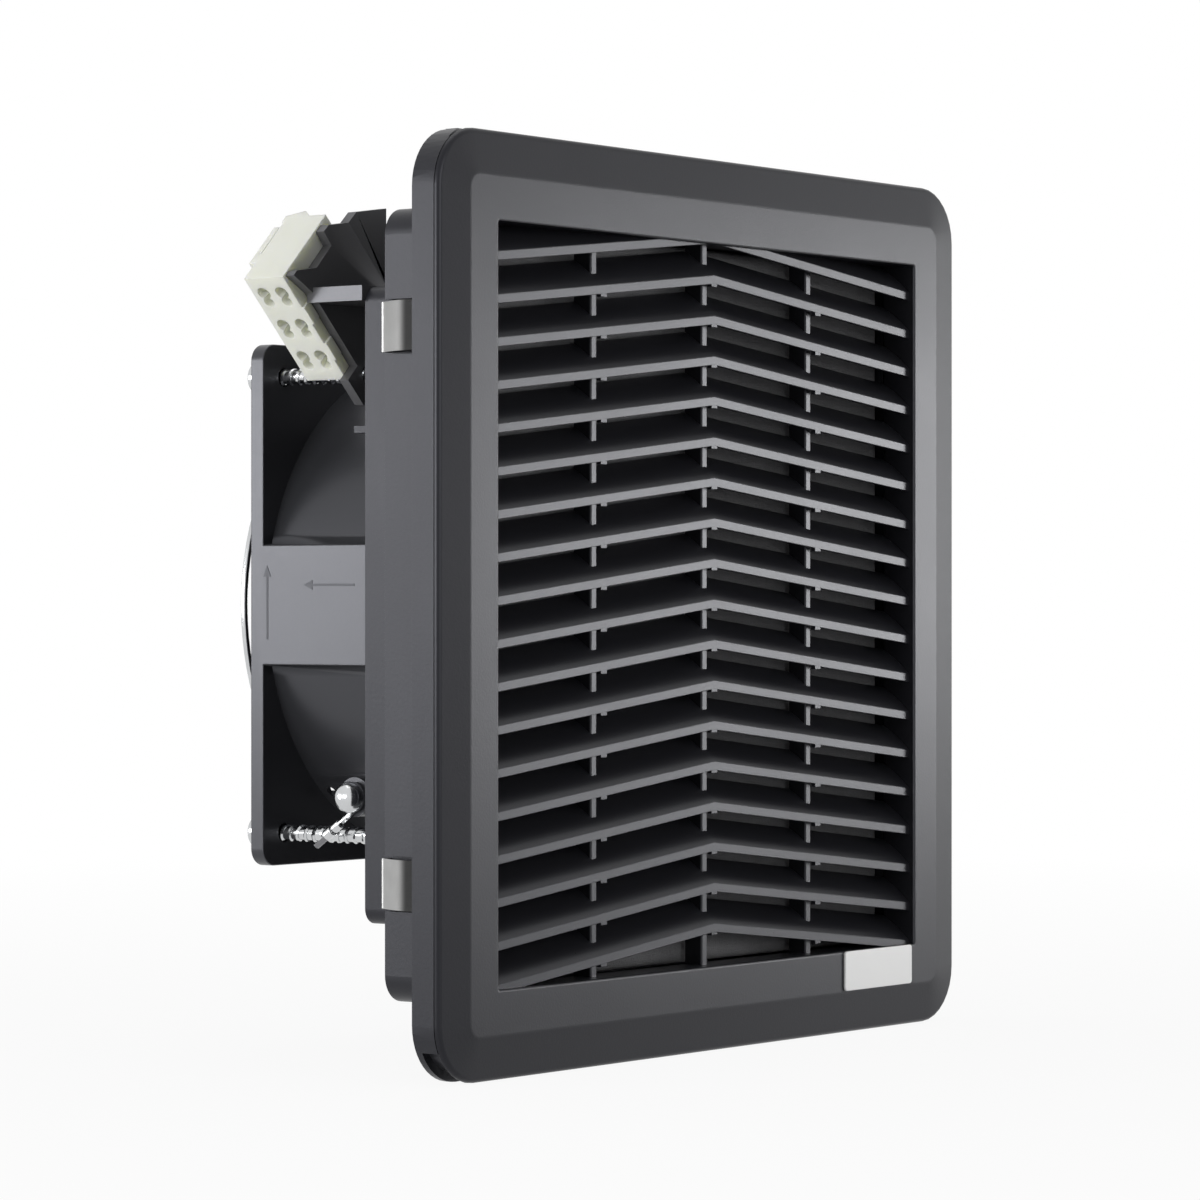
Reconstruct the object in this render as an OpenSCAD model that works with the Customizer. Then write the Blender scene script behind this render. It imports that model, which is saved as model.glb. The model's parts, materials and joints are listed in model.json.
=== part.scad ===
// Cabinet filter fan: a louvred cover hinged on a panel frame that carries a
// filter mat, an axial fan with its wire guard, and a terminal block.
// X runs to the right seen from outside, Y into the cabinet, Z up.
// The origin is the centre of the panel seat, on the panel's outer face.

/* [Panel] */
// How far the cover reaches past the panel's cut-out on each side
cover_lap = 13.5; // [12:0.5:15]
// Gap between the filter box and the cut-out on each side
cutout_gap = 2; // [1.5:0.25:2.5]

/* [Cover] */
// Width and height of the cover
cover_w = 204; // [202:1:212]
// Radius of the cover's corners
cover_r = 13; // [11:0.5:15]
// Width of the bevel round the cover
bevel_w = 9.7; // [7:0.1:10]
// Height of the bevel
bevel_h = 1; // [0.6:0.1:1.6]
// Height of the cover's edge below the bevel
edge_h = 1.4; // [1.3:0.1:2]
// Rounding of the cover's edge
edge_r = 1.2; // [0.6:0.1:1.3]
// Wall of the skirt round the aperture
skirt_t = 1.5; // [1.2:0.1:2]
// Gap between the skirt and the filter box
skirt_gap = 0.5; // [0.4:0.1:0.8]

/* [Louvres] */
// Number of chevron slats
slat_count = 18; // [16:1:18]
// Distance from slat to slat
slat_pitch = 9.28; // [9:0.02:9.4]
// Height of the chevron's apex over its ends
slat_rise = 8.85; // [6:0.05:10]
// Height from the upper slat's ends to the top of the opening
slat_drop = 6.5; // [5.5:0.1:7.5]
// Height of a slat's front lip
lip_h = 2; // [1.6:0.1:2.4]
// Depth of the front lip
lip_t = 1.2; // [1:0.1:1.6]
// Slope of a slat's upper face
slat_slope = 38; // [32:1:40]
// Depth of a slat
slat_depth = 7.5; // [7:0.1:7.8]
// Thickness of a slat
slat_t = 1.2; // [1:0.1:1.5]
// How far the slats stand behind the bezel's face
slat_recess = 1.5; // [1:0.1:2]
// Width of the upright ribs
rib_w = 2.2; // [1.8:0.1:3]
// Distance of the outer ribs from the centre
rib_x = 42.6; // [38:0.2:46]
// How far the ribs stand behind the slats' lips
rib_recess = 2.8; // [2:0.1:3.2]

/* [Name plate] */
// Width of the bare plate
plate_w = 29.2; // [24:0.2:34]
// Height of the bare plate
plate_h = 9.4; // [7:0.1:9.5]
// Thickness of the bare plate
plate_t = 0.6; // [0.4:0.1:1]
// Distance of the plate from the aperture's right side
plate_inset = 2; // [1:0.1:6]

/* [Base frame] */
// Height of the flange's rim over the seat
rim_h = 5.9; // [5.6:0.1:7]
// Wall of the rim
rim_t = 2.4; // [2:0.1:3]
// Thickness of the seat plate
seat_t = 1.6; // [1.4:0.1:2]
// Depth of the filter box behind the seat
box_depth = 20; // [18:0.5:24]
// Radius of the filter box's corners
box_r = 6; // [4:0.5:9]
// Wall of the filter box and the plenum
wall_t = 2; // [1.6:0.1:2.4]
// Width and height of the plenum
plenum_w = 142; // [138:1:146]
// Depth of the plenum
plenum_depth = 18.4; // [15:0.2:24]
// Radius of the plenum's corners
plenum_r = 3.5; // [3:0.5:8]
// Height of the fan's seat over the plenum
pad_h = 5; // [3:0.5:8]
// Inset of the finger recess along the bottom of the rim
notch_d = 2; // [1.5:0.1:2.5]
// Height of the finger recess
notch_h = 7; // [5:0.5:9]
// Number of bars each way in the filter's support grid
grid_bars = 4; // [2:1:6]
// Width of a grid bar
grid_w = 2; // [1.5:0.1:3]

/* [Cover hinge] */
// Radius of the hinge trunnions
trunnion_r = 1; // [0.8:0.1:1.2]
// Length of a trunnion
trunnion_len = 3; // [2:0.25:4]
// Distance of each hinge ear from the centre
ear_x = 70; // [50:1:78]
// Width of a hinge ear
ear_w = 5; // [4:0.5:8]
// Running clearance of the trunnions, radial
run_gap = 0.05; // [0.02:0.01:0.08]

/* [Seal and filter] */
// Width of the gasket
gasket_w = 5; // [4:0.5:5.5]
// Depth of the gasket's groove
gasket_d = 0.9; // [0.6:0.1:1]
// Gap between the filter mat and the louvres
mat_gap = 1.3; // [0.6:0.1:2]
// Gap between the filter mat and the box on each side
mat_side_gap = 1.6; // [1.4:0.1:2]

/* [Spring clips] */
// Height of the clips over and under the centre
clip_z = 60.5; // [50:0.5:66]
// Width of a clip's leaf
clip_w = 11; // [8:0.5:12]
// Thickness of a clip's leaf
clip_t = 0.6; // [0.4:0.05:0.7]
// How far the leaf bows out past the filter box
clip_bow = 3.2; // [2.8:0.1:3.6]
// Gap between a clip and its window
clip_gap = 0.5; // [0.4:0.05:0.8]

/* [Fan] */
// Width and height of the fan
fan_w = 120; // [119:0.5:121]
// Depth of the fan
fan_depth = 38; // [38:0.5:42]
// Thickness of the fan's flanges
fan_flange_t = 3.8; // [3:0.1:5]
// Radius of the fan's corners
fan_r = 4; // [3:0.25:6]
// Distance between the fan's screw holes
fan_holes = 105; // [104:0.25:105.5]
// Diameter of the air duct
duct_d = 115; // [113:0.5:116]
// Thickness of the duct's wall between the flanges
duct_t = 2.2; // [1.8:0.1:3]
// Height of the flat on each side of the duct
flat_h = 27.5; // [24:0.5:30]
// Gap between the blade tips and the duct
tip_gap = 1; // [0.8:0.1:1.5]
// Number of impeller blades
blade_count = 5; // [5:1:7]
// Chord of a blade
blade_chord = 33; // [28:0.5:34]
// Thickness of a blade
blade_t = 1.6; // [1.2:0.1:2]
// Pitch of the blades
blade_pitch = 38; // [32:1:40]
// Radius of a blade's camber
blade_camber_r = 45; // [36:1:60]
// Number of motor struts
strut_count = 4; // [3:1:5]
// Width of a motor strut
strut_w = 6; // [4:0.5:8]

/* [Motor] */
// Diameter of the impeller's hub
hub_d = 65; // [63:0.5:68]
// Thickness of the hub's wall round the steel rotor cup
hub_t = 2; // [1.5:0.1:3]
// Wall of the rotor cup
cup_t = 1.5; // [1.2:0.1:1.8]
// Diameter of the stator core
stator_d = 46; // [44:0.5:46.5]
// Air gap between the stator and the cage
air_gap = 0.5; // [0.4:0.05:0.8]
// Diameter of the shaft
shaft_d = 5; // [4:0.5:6]
// Outside diameter of the ball bearings
bearing_d = 13; // [12:0.5:14]
// Width of a ball bearing
bearing_w = 4; // [3:0.25:5]
// Wall of the bearing tube
tube_t = 2; // [1.5:0.25:2.5]

/* [Fasteners and guard] */
// Diameter of the fan screws
screw_d = 4; // [3.5:0.1:4.2]
// Diameter of the fan screws' heads
screw_head_d = 8; // [7:0.25:9]
// Height of the fan screws' heads
screw_head_h = 2.4; // [1.8:0.1:3]
// Clearance of a screw in its hole, radial
screw_gap = 0.2; // [0.1:0.05:0.3]
// Diameter of the guard's wire
wire_d = 1.6; // [1.2:0.1:2]
// How far the guard's rings stand behind the fan
guard_bulge = 4.6; // [3.5:0.1:6]
// Radius of the guard's outer ring
guard_r = 56; // [50:0.5:57]
// Number of rings in the guard
guard_rings = 5; // [3:1:6]

/* [Terminal block] */
// Length of the block across the cabinet's corner
block_len = 31.2; // [29:0.2:31.4]
// Thickness of the block
block_t = 11.4; // [10:0.2:13]
// Height of the block from its wire entries
block_h = 21.1; // [19:0.1:23]
// Distance of the block's outer edge from the centre, sideways
block_x = 79.5; // [79:0.1:82]
// Height of the block's outer edge
block_z = 73.3; // [73:0.1:76]
// Gap between the plenum and the block
block_y_gap = 16.7; // [14:0.1:20]
// Number of poles
pole_count = 3; // [2:1:3]
// Distance from pole to pole
pole_pitch = 9.6; // [9:0.1:10]

/* [Earth terminal] */
// Distance of the earth screw from the centre, sideways
earth_x = 57.6; // [57:0.1:59]
// Depth of the earth screw behind the fan's front
earth_y = 9; // [8:0.25:12]
// Height of the earth screw under the centre
earth_z = 43.5; // [42:0.25:45]
// Length of the earth blade
earth_len = 17; // [14:0.5:19]
// Width of the earth blade
earth_w = 4; // [3:0.1:4.8]
// Thickness of the earth blade
earth_t = 0.8; // [0.6:0.1:1]

/* [Hidden] */
$fn = 64;
small = 0.01;

cutout_w = cover_w - 2 * cover_lap;
box_w = cutout_w - 2 * cutout_gap;
box_in = box_w - 2 * wall_t;
skirt_w = box_in - 2 * skirt_gap;
skirt_r = box_r - wall_t - skirt_gap;
aperture_w = skirt_w - 2 * skirt_t;
half = cover_w / 2;
hb = box_w / 2;

y_split = -rim_h;
y_edge = y_split - edge_h;
y_band = y_edge - bevel_h;
y_lip = y_band + slat_recess;
y_slat = y_lip + slat_depth;
y_rib = y_lip + rib_recess;
y_plenum = box_depth + plenum_depth;
y_fan = y_plenum + pad_h;
y_fan_rear = y_fan + fan_depth;
y_box_front = y_split + skirt_gap;
y_mat = y_slat + mat_gap;

slat_end = aperture_w / 2;
slat_top = slat_end - slat_drop;
slat_angle = atan(slat_rise / slat_end);

hinge_drop = 2.4;
hinge_reach = 2.8;
hinge_y = y_split + hinge_reach;
hinge_z = half - hinge_drop;
ear_r = hinge_drop - 0.2;
ear_gap = 0.4;
bar_h = 2 * hinge_drop;

catch_x = 40;
catch_w = 12;
catch_t = 1.5;
catch_gap = 0.3;
catch_z = hb + 2.5;

base_t = 5;
strut_depth = 8;
y_motor = y_fan_rear - base_t;
y_strut = y_fan_rear - strut_depth;
y_cup = y_fan + 4.6;
cup_depth = y_strut - 1.4 - y_cup;
cup_d = hub_d - 2 * hub_t;
cage_id = stator_d + 2 * air_gap;
tube_d = bearing_d + 2 * tube_t;
y_tube = y_cup + 5;
core_y = y_tube + 2;
core_len = 14;
coil_len = 3.5;
tip_r = duct_d / 2 - tip_gap;
duct_od = duct_d + 2 * duct_t;
flange_w = max(fan_w, duct_d + 5);
boss_d = 9;
head_y = y_fan_rear + wire_d;
weld_gap = 0.02;

block_y = y_plenum + block_y_gap;
bracket_t = 2.5;
shelf_h = 3.4;
shelf_w = 22;
back_t = 1.3;
hook_t = 1.7;
hook_len = 3.2;
washer_t = 0.9;
earth_shank = 10;
earth_boss = earth_x - sqrt(duct_od * duct_od / 4 - earth_z * earth_z) + 1;

// Extrudes an outline in X and Z from y0 to y1.
module slab(y0, y1) {
    translate([0, y1, 0])
        rotate([90, 0, 0])
            linear_extrude(y1 - y0)
                children();
}

// Extrudes an outline in Y and Z from x0 to x1.
module along_x(x0, x1) {
    translate([x0, 0, 0])
        rotate([90, 0, 90])
            linear_extrude(x1 - x0)
                children();
}

// A rod along Y.
module rod(d, y0, y1) {
    translate([0, y0, 0])
        rotate([-90, 0, 0])
            cylinder(d = d, h = y1 - y0);
}

// A ring along Y.
module tube(od, id, y0, y1) {
    difference() {
        rod(od, y0, y1);
        rod(id, y0 - 1, y1 + 1);
    }
}

// A body of revolution about Y, from an outline in radius and Y.
module revolve() {
    rotate([-90, 0, 0])
        rotate_extrude()
            children();
}

// A square with rounded corners.
module round_square(w, r) {
    square([w - 2 * r, w], center = true);
    square([w, w - 2 * r], center = true);
    for (x = [-1, 1], z = [-1, 1])
        translate([x * (w / 2 - r), z * (w / 2 - r)])
            circle(r);
}

module square_ring(w_out, r_out, w_in, r_in) {
    difference() {
        round_square(w_out, r_out);
        round_square(w_in, r_in);
    }
}

// The four places of a square pattern.
module corners(spacing) {
    for (x = [-1, 1], z = [-1, 1])
        translate([x * spacing / 2, 0, z * spacing / 2])
            children();
}

// Cross-section of the cover's edge, from the corner's centre outwards.
module edge_outline() {
    steps = 4;
    polygon(concat(
        [[0, y_band], [0, y_split], [cover_r, y_split]],
        [for (i = [0 : steps])
            let (a = 90 * i / steps)
                [cover_r - edge_r + edge_r * cos(a), y_edge + edge_r - edge_r * sin(a)]],
        [[cover_r - bevel_w, y_band]]));
}

// The cover's plate: a flat middle, four bevelled sides and four turned corners.
module cover_plate() {
    side = cover_w - 2 * cover_r;
    slab(y_band, y_split)
        square(side, center = true);
    for (i = [0 : 3])
        rotate([0, 90 * i, 0])
            translate([half - cover_r, 0, -side / 2]) {
                linear_extrude(side)
                    edge_outline();
                rotate([-90, 0, 0])
                    rotate_extrude(angle = 90)
                        edge_outline();
            }
}

// Cross-section of a slat: an upright lip and a face that rises to the rear.
module slat_outline() {
    rise = tan(slat_slope);
    web = slat_t / cos(slat_slope);
    polygon([
        [y_lip, -lip_h],
        [y_lip, 0],
        [y_slat, slat_depth * rise],
        [y_slat, slat_depth * rise - web],
        [y_lip + lip_t, lip_t * rise - web],
        [y_lip + lip_t, -lip_h]]);
}

// The right half of all the slats, ending inside the skirt.
module half_slats() {
    reach = slat_end + skirt_t / 2;
    intersection() {
        for (k = [0 : slat_count - 1])
            translate([0, 0, slat_top + slat_rise - k * slat_pitch])
                rotate([0, slat_angle, 0])
                    along_x(-lip_h, reach / cos(slat_angle) + lip_h)
                        slat_outline();
        translate([0, y_lip - 1, -reach])
            cube([reach, slat_depth + 2, 2 * reach]);
    }
}

// Upright ribs behind the slats, with a small tab under each lip.
module ribs() {
    reach = slat_end + skirt_t / 2;
    tab_h = 0.7;
    for (x = [-rib_x, 0, rib_x]) {
        foot = slat_top + slat_rise - abs(x) * tan(slat_angle) - lip_h - tab_h;
        translate([x - rib_w / 2, y_rib, -reach])
            cube([rib_w, y_slat - y_rib, 2 * reach]);
        for (k = [1 : slat_count - 1])
            translate([x - rib_w / 2, y_lip, foot - k * slat_pitch])
                cube([rib_w, lip_t, 2 * tab_h]);
    }
}

// An ear behind the cover's top edge, with a trunnion on each side.
module hinge_ear() {
    along_x(-ear_w / 2, ear_w / 2) {
        translate([hinge_y, hinge_z])
            circle(ear_r);
        translate([y_split - small, hinge_z - ear_r])
            square([hinge_reach + small, 2 * ear_r]);
    }
    translate([-ear_w / 2 - trunnion_len, hinge_y, hinge_z])
        rotate([0, 90, 0])
            cylinder(r = trunnion_r, h = ear_w + 2 * trunnion_len);
}

module louvre_cover() {
    color("#2f3033") {
        difference() {
            union() {
                cover_plate();
                slab(y_split - small, y_slat)
                    round_square(skirt_w, skirt_r);
            }
            slab(y_band - 1, y_slat + 1)
                square(aperture_w, center = true);
        }
        half_slats();
        mirror([1, 0, 0])
            half_slats();
        ribs();
        for (x = [-ear_x, ear_x])
            translate([x, 0, 0])
                hinge_ear();
        for (x = [-catch_x, catch_x])
            translate([x - catch_w / 2, y_split - small, -catch_z - catch_t])
                cube([catch_w, rim_h - seat_t - catch_gap, catch_t]);
    }
}

module name_plate() {
    corner = 0.8;
    color("#f2f2f0")
        translate([aperture_w / 2 - plate_inset - plate_w / 2, 0, -aperture_w / 2 - plate_h / 2])
            slab(y_band - plate_t, y_band) {
                square([plate_w - 2 * corner, plate_h], center = true);
                square([plate_w, plate_h - 2 * corner], center = true);
                for (x = [-1, 1], z = [-1, 1])
                    translate([x * (plate_w / 2 - corner), z * (plate_h / 2 - corner)])
                        circle(corner);
            }
}

// The rim round the seat, with a set-back stretch along the bottom for the fingers.
module rim() {
    inner_w = cover_w - 2 * notch_d;
    bar_len = cover_w - 2 * cover_r + 3;
    difference() {
        union() {
            slab(-seat_t, 0)
                round_square(cover_w, cover_r);
            slab(y_split, 0)
                square_ring(cover_w, cover_r, cover_w - 2 * rim_t, cover_r - rim_t);
            translate([-bar_len / 2, y_split, half - bar_h])
                cube([bar_len, rim_h, bar_h]);
            intersection() {
                slab(y_split, 0)
                    square_ring(inner_w, cover_r - notch_d,
                        inner_w - 2 * rim_t, cover_r - notch_d - rim_t);
                translate([-half, y_split, -half])
                    cube([cover_w, rim_h, notch_h + rim_t]);
            }
        }
        difference() {
            translate([-half - 1, y_split - 1, -half - 1])
                cube([cover_w + 2, rim_h - seat_t + 1, notch_h + 1]);
            slab(y_split - 2, 0)
                round_square(inner_w, cover_r - notch_d);
        }
    }
}

// Room for the cover's edge and ears to swing about the hinge axis.
module hinge_room() {
    slot = ear_w + 2 * ear_gap;
    difference() {
        translate([-half, y_split - 1, hinge_z])
            cube([cover_w, hinge_reach + 1, hinge_drop + 1]);
        translate([-half - 1, hinge_y, hinge_z])
            rotate([0, 90, 0])
                cylinder(r = hinge_drop, h = cover_w + 2);
    }
    for (x = [-ear_x, ear_x])
        translate([x, 0, 0]) {
            translate([-slot / 2, y_split - 1, half - bar_h - 1])
                cube([slot, rim_h + 1 - seat_t / 2, bar_h + 2]);
            translate([-slot / 2 - trunnion_len, hinge_y, hinge_z])
                rotate([0, 90, 0])
                    cylinder(r = trunnion_r + run_gap, h = slot + 2 * trunnion_len);
        }
}

// A wall inside the box behind each clip, which keeps the dust out.
module clip_backs() {
    tall = clip_w + 9;
    y0 = y_slat + clip_gap;
    for (x = [-1, 1], z = [-clip_z, clip_z])
        translate([x * (hb - wall_t - back_t / 2) - back_t / 2 - small, y0, z - tall / 2])
            cube([back_t + 2 * small, box_depth - wall_t - y0 + small, tall]);
}

// Openings for the clips in the box's sides, with the wall's corners rounded off at the seat.
module clip_windows() {
    tall = clip_w / 2 + clip_gap;
    front = seat_t + clip_gap;
    flare = 2.4;
    deep = wall_t + clip_gap;
    curve = [for (a = [0 : 22.5 : 90])
        [front + flare * (1 - cos(a)), tall + flare * (1 - sin(a))]];
    edge = concat(curve, [[box_depth + 1, tall]]);
    last = len(edge) - 1;
    for (x = [-1, 1], z = [-clip_z, clip_z])
        translate([x < 0 ? -hb - deep : hb - deep, 0, z])
            along_x(0, 2 * deep)
                polygon(concat(edge, [for (i = [last : -1 : 0]) [edge[i][0], -edge[i][1]]]));
}

module support_grid() {
    span = plenum_w - 2 * wall_t;
    step = span / (grid_bars + 1);
    for (i = [1 : grid_bars]) {
        at = -span / 2 + i * step - grid_w / 2;
        translate([at, box_depth - wall_t, -span / 2 - small])
            cube([grid_w, wall_t, span + 2 * small]);
        translate([-span / 2 - small, box_depth - wall_t, at])
            cube([span + 2 * small, wall_t, grid_w]);
    }
}

module base_frame() {
    color("#3a3b3e") {
        difference() {
            union() {
                rim();
                slab(y_box_front, box_depth)
                    round_square(box_w, box_r);
                for (x = [-catch_x, catch_x])
                    translate([x - catch_w / 2, y_box_front, -catch_z - 2 * catch_t - catch_gap])
                        cube([catch_w, rim_h - skirt_gap, catch_t]);
            }
            slab(y_split - 1, box_depth - wall_t)
                round_square(box_in, box_r - wall_t);
            slab(box_depth - wall_t - 1, box_depth + 1)
                round_square(plenum_w - 2 * wall_t, plenum_r - wall_t);
            slab(-gasket_d, 1)
                gasket_outline();
            hinge_room();
            clip_windows();
        }
        difference() {
            clip_backs();
            clip_windows();
        }
        support_grid();
    }
}

// The air box behind the filter, with the fan's seat and screw bosses on its rear wall.
module fan_plenum() {
    hole = screw_d + 2 * screw_gap;
    color("#3a3b3e")
        difference() {
            union() {
                slab(box_depth, y_plenum)
                    round_square(plenum_w, plenum_r);
                rod(duct_d + 4, y_plenum - small, y_fan);
                corners(fan_holes)
                    rod(boss_d, y_plenum - small, y_fan);
                translate([-plenum_w / 2, y_plenum - small, fan_w / 3 - hook_t])
                    cube([2 * wall_t, hook_len, hook_t]);
            }
            slab(box_depth - 1, y_plenum - wall_t)
                round_square(plenum_w - 2 * wall_t, plenum_r - wall_t);
            rod(duct_d, y_plenum - wall_t - 1, y_fan + 1);
            corners(fan_holes)
                rod(hole, y_plenum - wall_t - 1, y_fan + 1);
        }
}

module gasket_outline() {
    outer = cover_w - 2 * notch_d - 2 * rim_t - 1;
    square_ring(outer, cover_r - notch_d, outer - 2 * gasket_w, cover_r - notch_d - gasket_w);
}

module panel_gasket() {
    color("#1c1c1e")
        slab(-gasket_d, 0)
            gasket_outline();
}

module filter_mat() {
    color("#d9d9d2")
        slab(y_mat, box_depth - wall_t)
            round_square(box_in - 2 * mat_side_gap, box_r - wall_t);
}

// Cross-section of a clip: a foot on the box's rear and a leaf that bows outwards.
function bow(a, c, b, t) = (1 - t) * (1 - t) * a + 2 * t * (1 - t) * c + t * t * b;

module clip_outline() {
    steps = 10;
    seat = box_depth + clip_gap / 2;
    root = hb - 2.2;
    tip = hb + 0.4;
    crest = 2 * (hb + clip_bow) + 0.4 - (root + tip) / 2;
    tip_y = seat_t + clip_gap + 0.7;
    leaf = [for (i = [0 : steps])
        [bow(root, crest, tip, i / steps), bow(seat, box_depth * 0.4, tip_y, i / steps)]];
    polygon(concat(
        [[root - 4.5, seat], [root - 4.5, seat + clip_t], [root + clip_t, seat + clip_t]],
        [for (p = leaf) p + [clip_t, 0]],
        [for (i = [steps : -1 : 0]) leaf[i]]));
}

module spring_clip(x, z) {
    color("#c9c9c7")
        translate([0, 0, z * clip_z - clip_w / 2])
            mirror([x < 0 ? 1 : 0, 0, 0])
                linear_extrude(clip_w)
                    clip_outline();
}

// Outside of the duct: a waist between two flares that run out to the flanges.
module duct_outline() {
    steps = 6;
    flare = 11;
    run = 8;
    waist = duct_od / 2;
    y0 = y_fan + fan_flange_t;
    y1 = y_fan_rear - fan_flange_t;
    polygon(concat(
        [[duct_d / 2, y_fan], [waist + flare, y_fan]],
        [for (i = [0 : steps])
            let (a = 90 * i / steps)
                [waist + flare * (1 - sin(a)), y0 + run * (1 - cos(a))]],
        [for (i = [steps : -1 : 0])
            let (a = 90 * i / steps)
                [waist + flare * (1 - sin(a)), y1 - run * (1 - cos(a))]],
        [[waist + flare, y_fan_rear], [duct_d / 2, y_fan_rear]]));
}

// Arms from the motor's base plate to the duct.
module struts() {
    turn = 20;
    for (i = [0 : strut_count - 1])
        rotate([0, 360 / strut_count * i + turn, 0])
            translate([hub_d / 2 - 1, y_strut, -strut_w / 2])
                cube([(duct_d - hub_d) / 2 + 2, strut_depth, strut_w]);
}

// The duct with its two flanges and the flats between them, before the corners are trimmed.
module duct_block() {
    for (y = [y_fan, y_fan_rear - fan_flange_t])
        slab(y, y + fan_flange_t)
            round_square(flange_w, fan_r);
    revolve()
        duct_outline();
    for (a = [0, 90])
        rotate([0, a, 0])
            translate([-flange_w / 2, y_fan, -flat_h / 2])
                cube([flange_w, fan_depth, flat_h]);
}

module fan_frame() {
    hole = screw_d + 2 * screw_gap;
    color("#26272a")
        difference() {
            union() {
                difference() {
                    union() {
                        intersection() {
                            duct_block();
                            slab(y_fan, y_fan_rear)
                                round_square(flange_w, fan_r);
                        }
                        earth_frame()
                            rotate([0, 90, 0])
                                cylinder(d = boss_d, h = earth_boss);
                    }
                    rod(duct_d, y_fan - 1, y_fan_rear + 1);
                }
                rod(hub_d + 2, y_motor, y_fan_rear);
                struts();
            }
            corners(fan_holes)
                rod(hole, y_fan - 1, y_fan_rear + 1);
            earth_frame() {
                translate([-1, 0, 0])
                    rotate([0, 90, 0])
                        cylinder(d = hole, h = earth_shank + 1);
                translate([earth_x - duct_od / 2 + earth_y, 2 * earth_y, 0])
                    rotate([0, 90, 0])
                        cylinder(d = hole / 2, h = earth_y);
            }
        }
}

module bearing_tube() {
    color("#b9a15a")
        tube(tube_d, bearing_d, y_tube, y_motor);
}

module ball_bearings() {
    inset = 1;
    color("#c4c6c9")
        for (y = [y_tube + inset, y_motor - inset - 1 - bearing_w])
            tube(bearing_d, shaft_d + 2 * run_gap, y, y + bearing_w);
}

module stator_core() {
    color("#6d6f73")
        tube(stator_d, tube_d, core_y, core_y + core_len);
}

module stator_coils() {
    color("#b8693a")
        for (y = [core_y - coil_len, core_y + core_len])
            tube(stator_d - 3, tube_d + 4, y, y + coil_len);
}

// A blade: a cambered plate that stands out along X, before trimming.
module blade() {
    mid_y = y_cup + cup_depth / 2;
    rotate([0, 90, 0])
        translate([0, mid_y, 0])
            linear_extrude(tip_r + 2)
                rotate(90 - blade_pitch)
                    intersection() {
                        translate([-blade_camber_r, 0])
                            difference() {
                                circle(blade_camber_r + blade_t / 2, $fn = 128);
                                circle(blade_camber_r - blade_t / 2, $fn = 128);
                            }
                        translate([-blade_camber_r / 2, 0])
                            square([blade_camber_r + 2 * blade_t, blade_chord], center = true);
                    }
}

module impeller() {
    y1 = y_cup + cup_depth;
    color("#2b2c2e") {
        tube(hub_d, cup_d, y_cup - 1, y1);
        intersection() {
            for (i = [0 : blade_count - 1])
                rotate([0, 360 / blade_count * i, 0])
                    blade();
            tube(2 * tip_r, hub_d - 2, y_cup - 1, y1);
        }
    }
}

module rotor_cup() {
    boss = 11;
    boss_len = 3;
    color("#8d9094")
        difference() {
            union() {
                tube(cup_d, cup_d - 2 * cup_t, y_cup, y_cup + cup_depth);
                rod(cup_d - 2 * cup_t + small, y_cup, y_cup + cup_t);
                rod(boss, y_cup, y_cup + boss_len);
            }
            rod(shaft_d, y_cup - 1, y_cup + boss_len + 1);
        }
}

module rotor_cage() {
    color("#9b9da1")
        tube(cup_d - 2 * cup_t, cage_id, core_y - 1, core_y + core_len + 1);
}

module shaft() {
    color("#d0d2d5")
        rod(shaft_d, y_cup, y_motor - 0.6);
}

module retaining_ring() {
    ring_t = 0.6;
    y = y_motor - 1.7;
    color("#77797c")
        tube(bearing_d - 4, shaft_d, y, y + ring_t);
}

// An arm of the guard: a bar from the inner ring that slopes down to an eye on the screw.
module guard_arm() {
    eye_r = fan_holes / sqrt(2);
    eye_hole = screw_d + 2 * screw_gap;
    eye_d = eye_hole + 4 * wire_d;
    high = y_fan_rear + guard_bulge - wire_d;
    foot = eye_r - eye_d / 2 - wire_d;
    knee = guard_r + wire_d;
    inner = guard_r / guard_rings;
    end = eye_r - eye_hole / 2 - wire_d;
    translate([0, 0, -wire_d / 2])
        linear_extrude(wire_d)
            polygon([
                [inner, high], [knee, high], [foot, y_fan_rear], [end, y_fan_rear],
                [end, head_y], [foot, head_y], [knee, high + wire_d], [inner, high + wire_d]]);
    translate([eye_r, 0, 0])
        tube(eye_d, eye_hole, y_fan_rear, head_y);
}

module finger_guard() {
    ring_y = y_fan_rear + guard_bulge + wire_d / 2 + weld_gap;
    color("#c7c9cc") {
        for (i = [0 : 3])
            rotate([0, 45 + 90 * i, 0])
                guard_arm();
        for (i = [1 : guard_rings])
            revolve()
                translate([guard_r * i / guard_rings, ring_y])
                    circle(d = wire_d);
    }
}

module fan_screws() {
    color("#d3d5d8")
        corners(fan_holes) {
            rod(screw_d, y_plenum - wall_t, head_y + small);
            rod(screw_head_d, head_y, head_y + screw_head_h);
        }
}

// The block's own frame: X along its length, Z away from its wire entries.
module block_frame() {
    translate([-block_x, block_y, block_z])
        rotate([0, 45, 0])
            children();
}

// The middle of each pole along the block.
function pole_at(i) = block_len / 2 + (i - (pole_count - 1) / 2) * pole_pitch;

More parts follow.
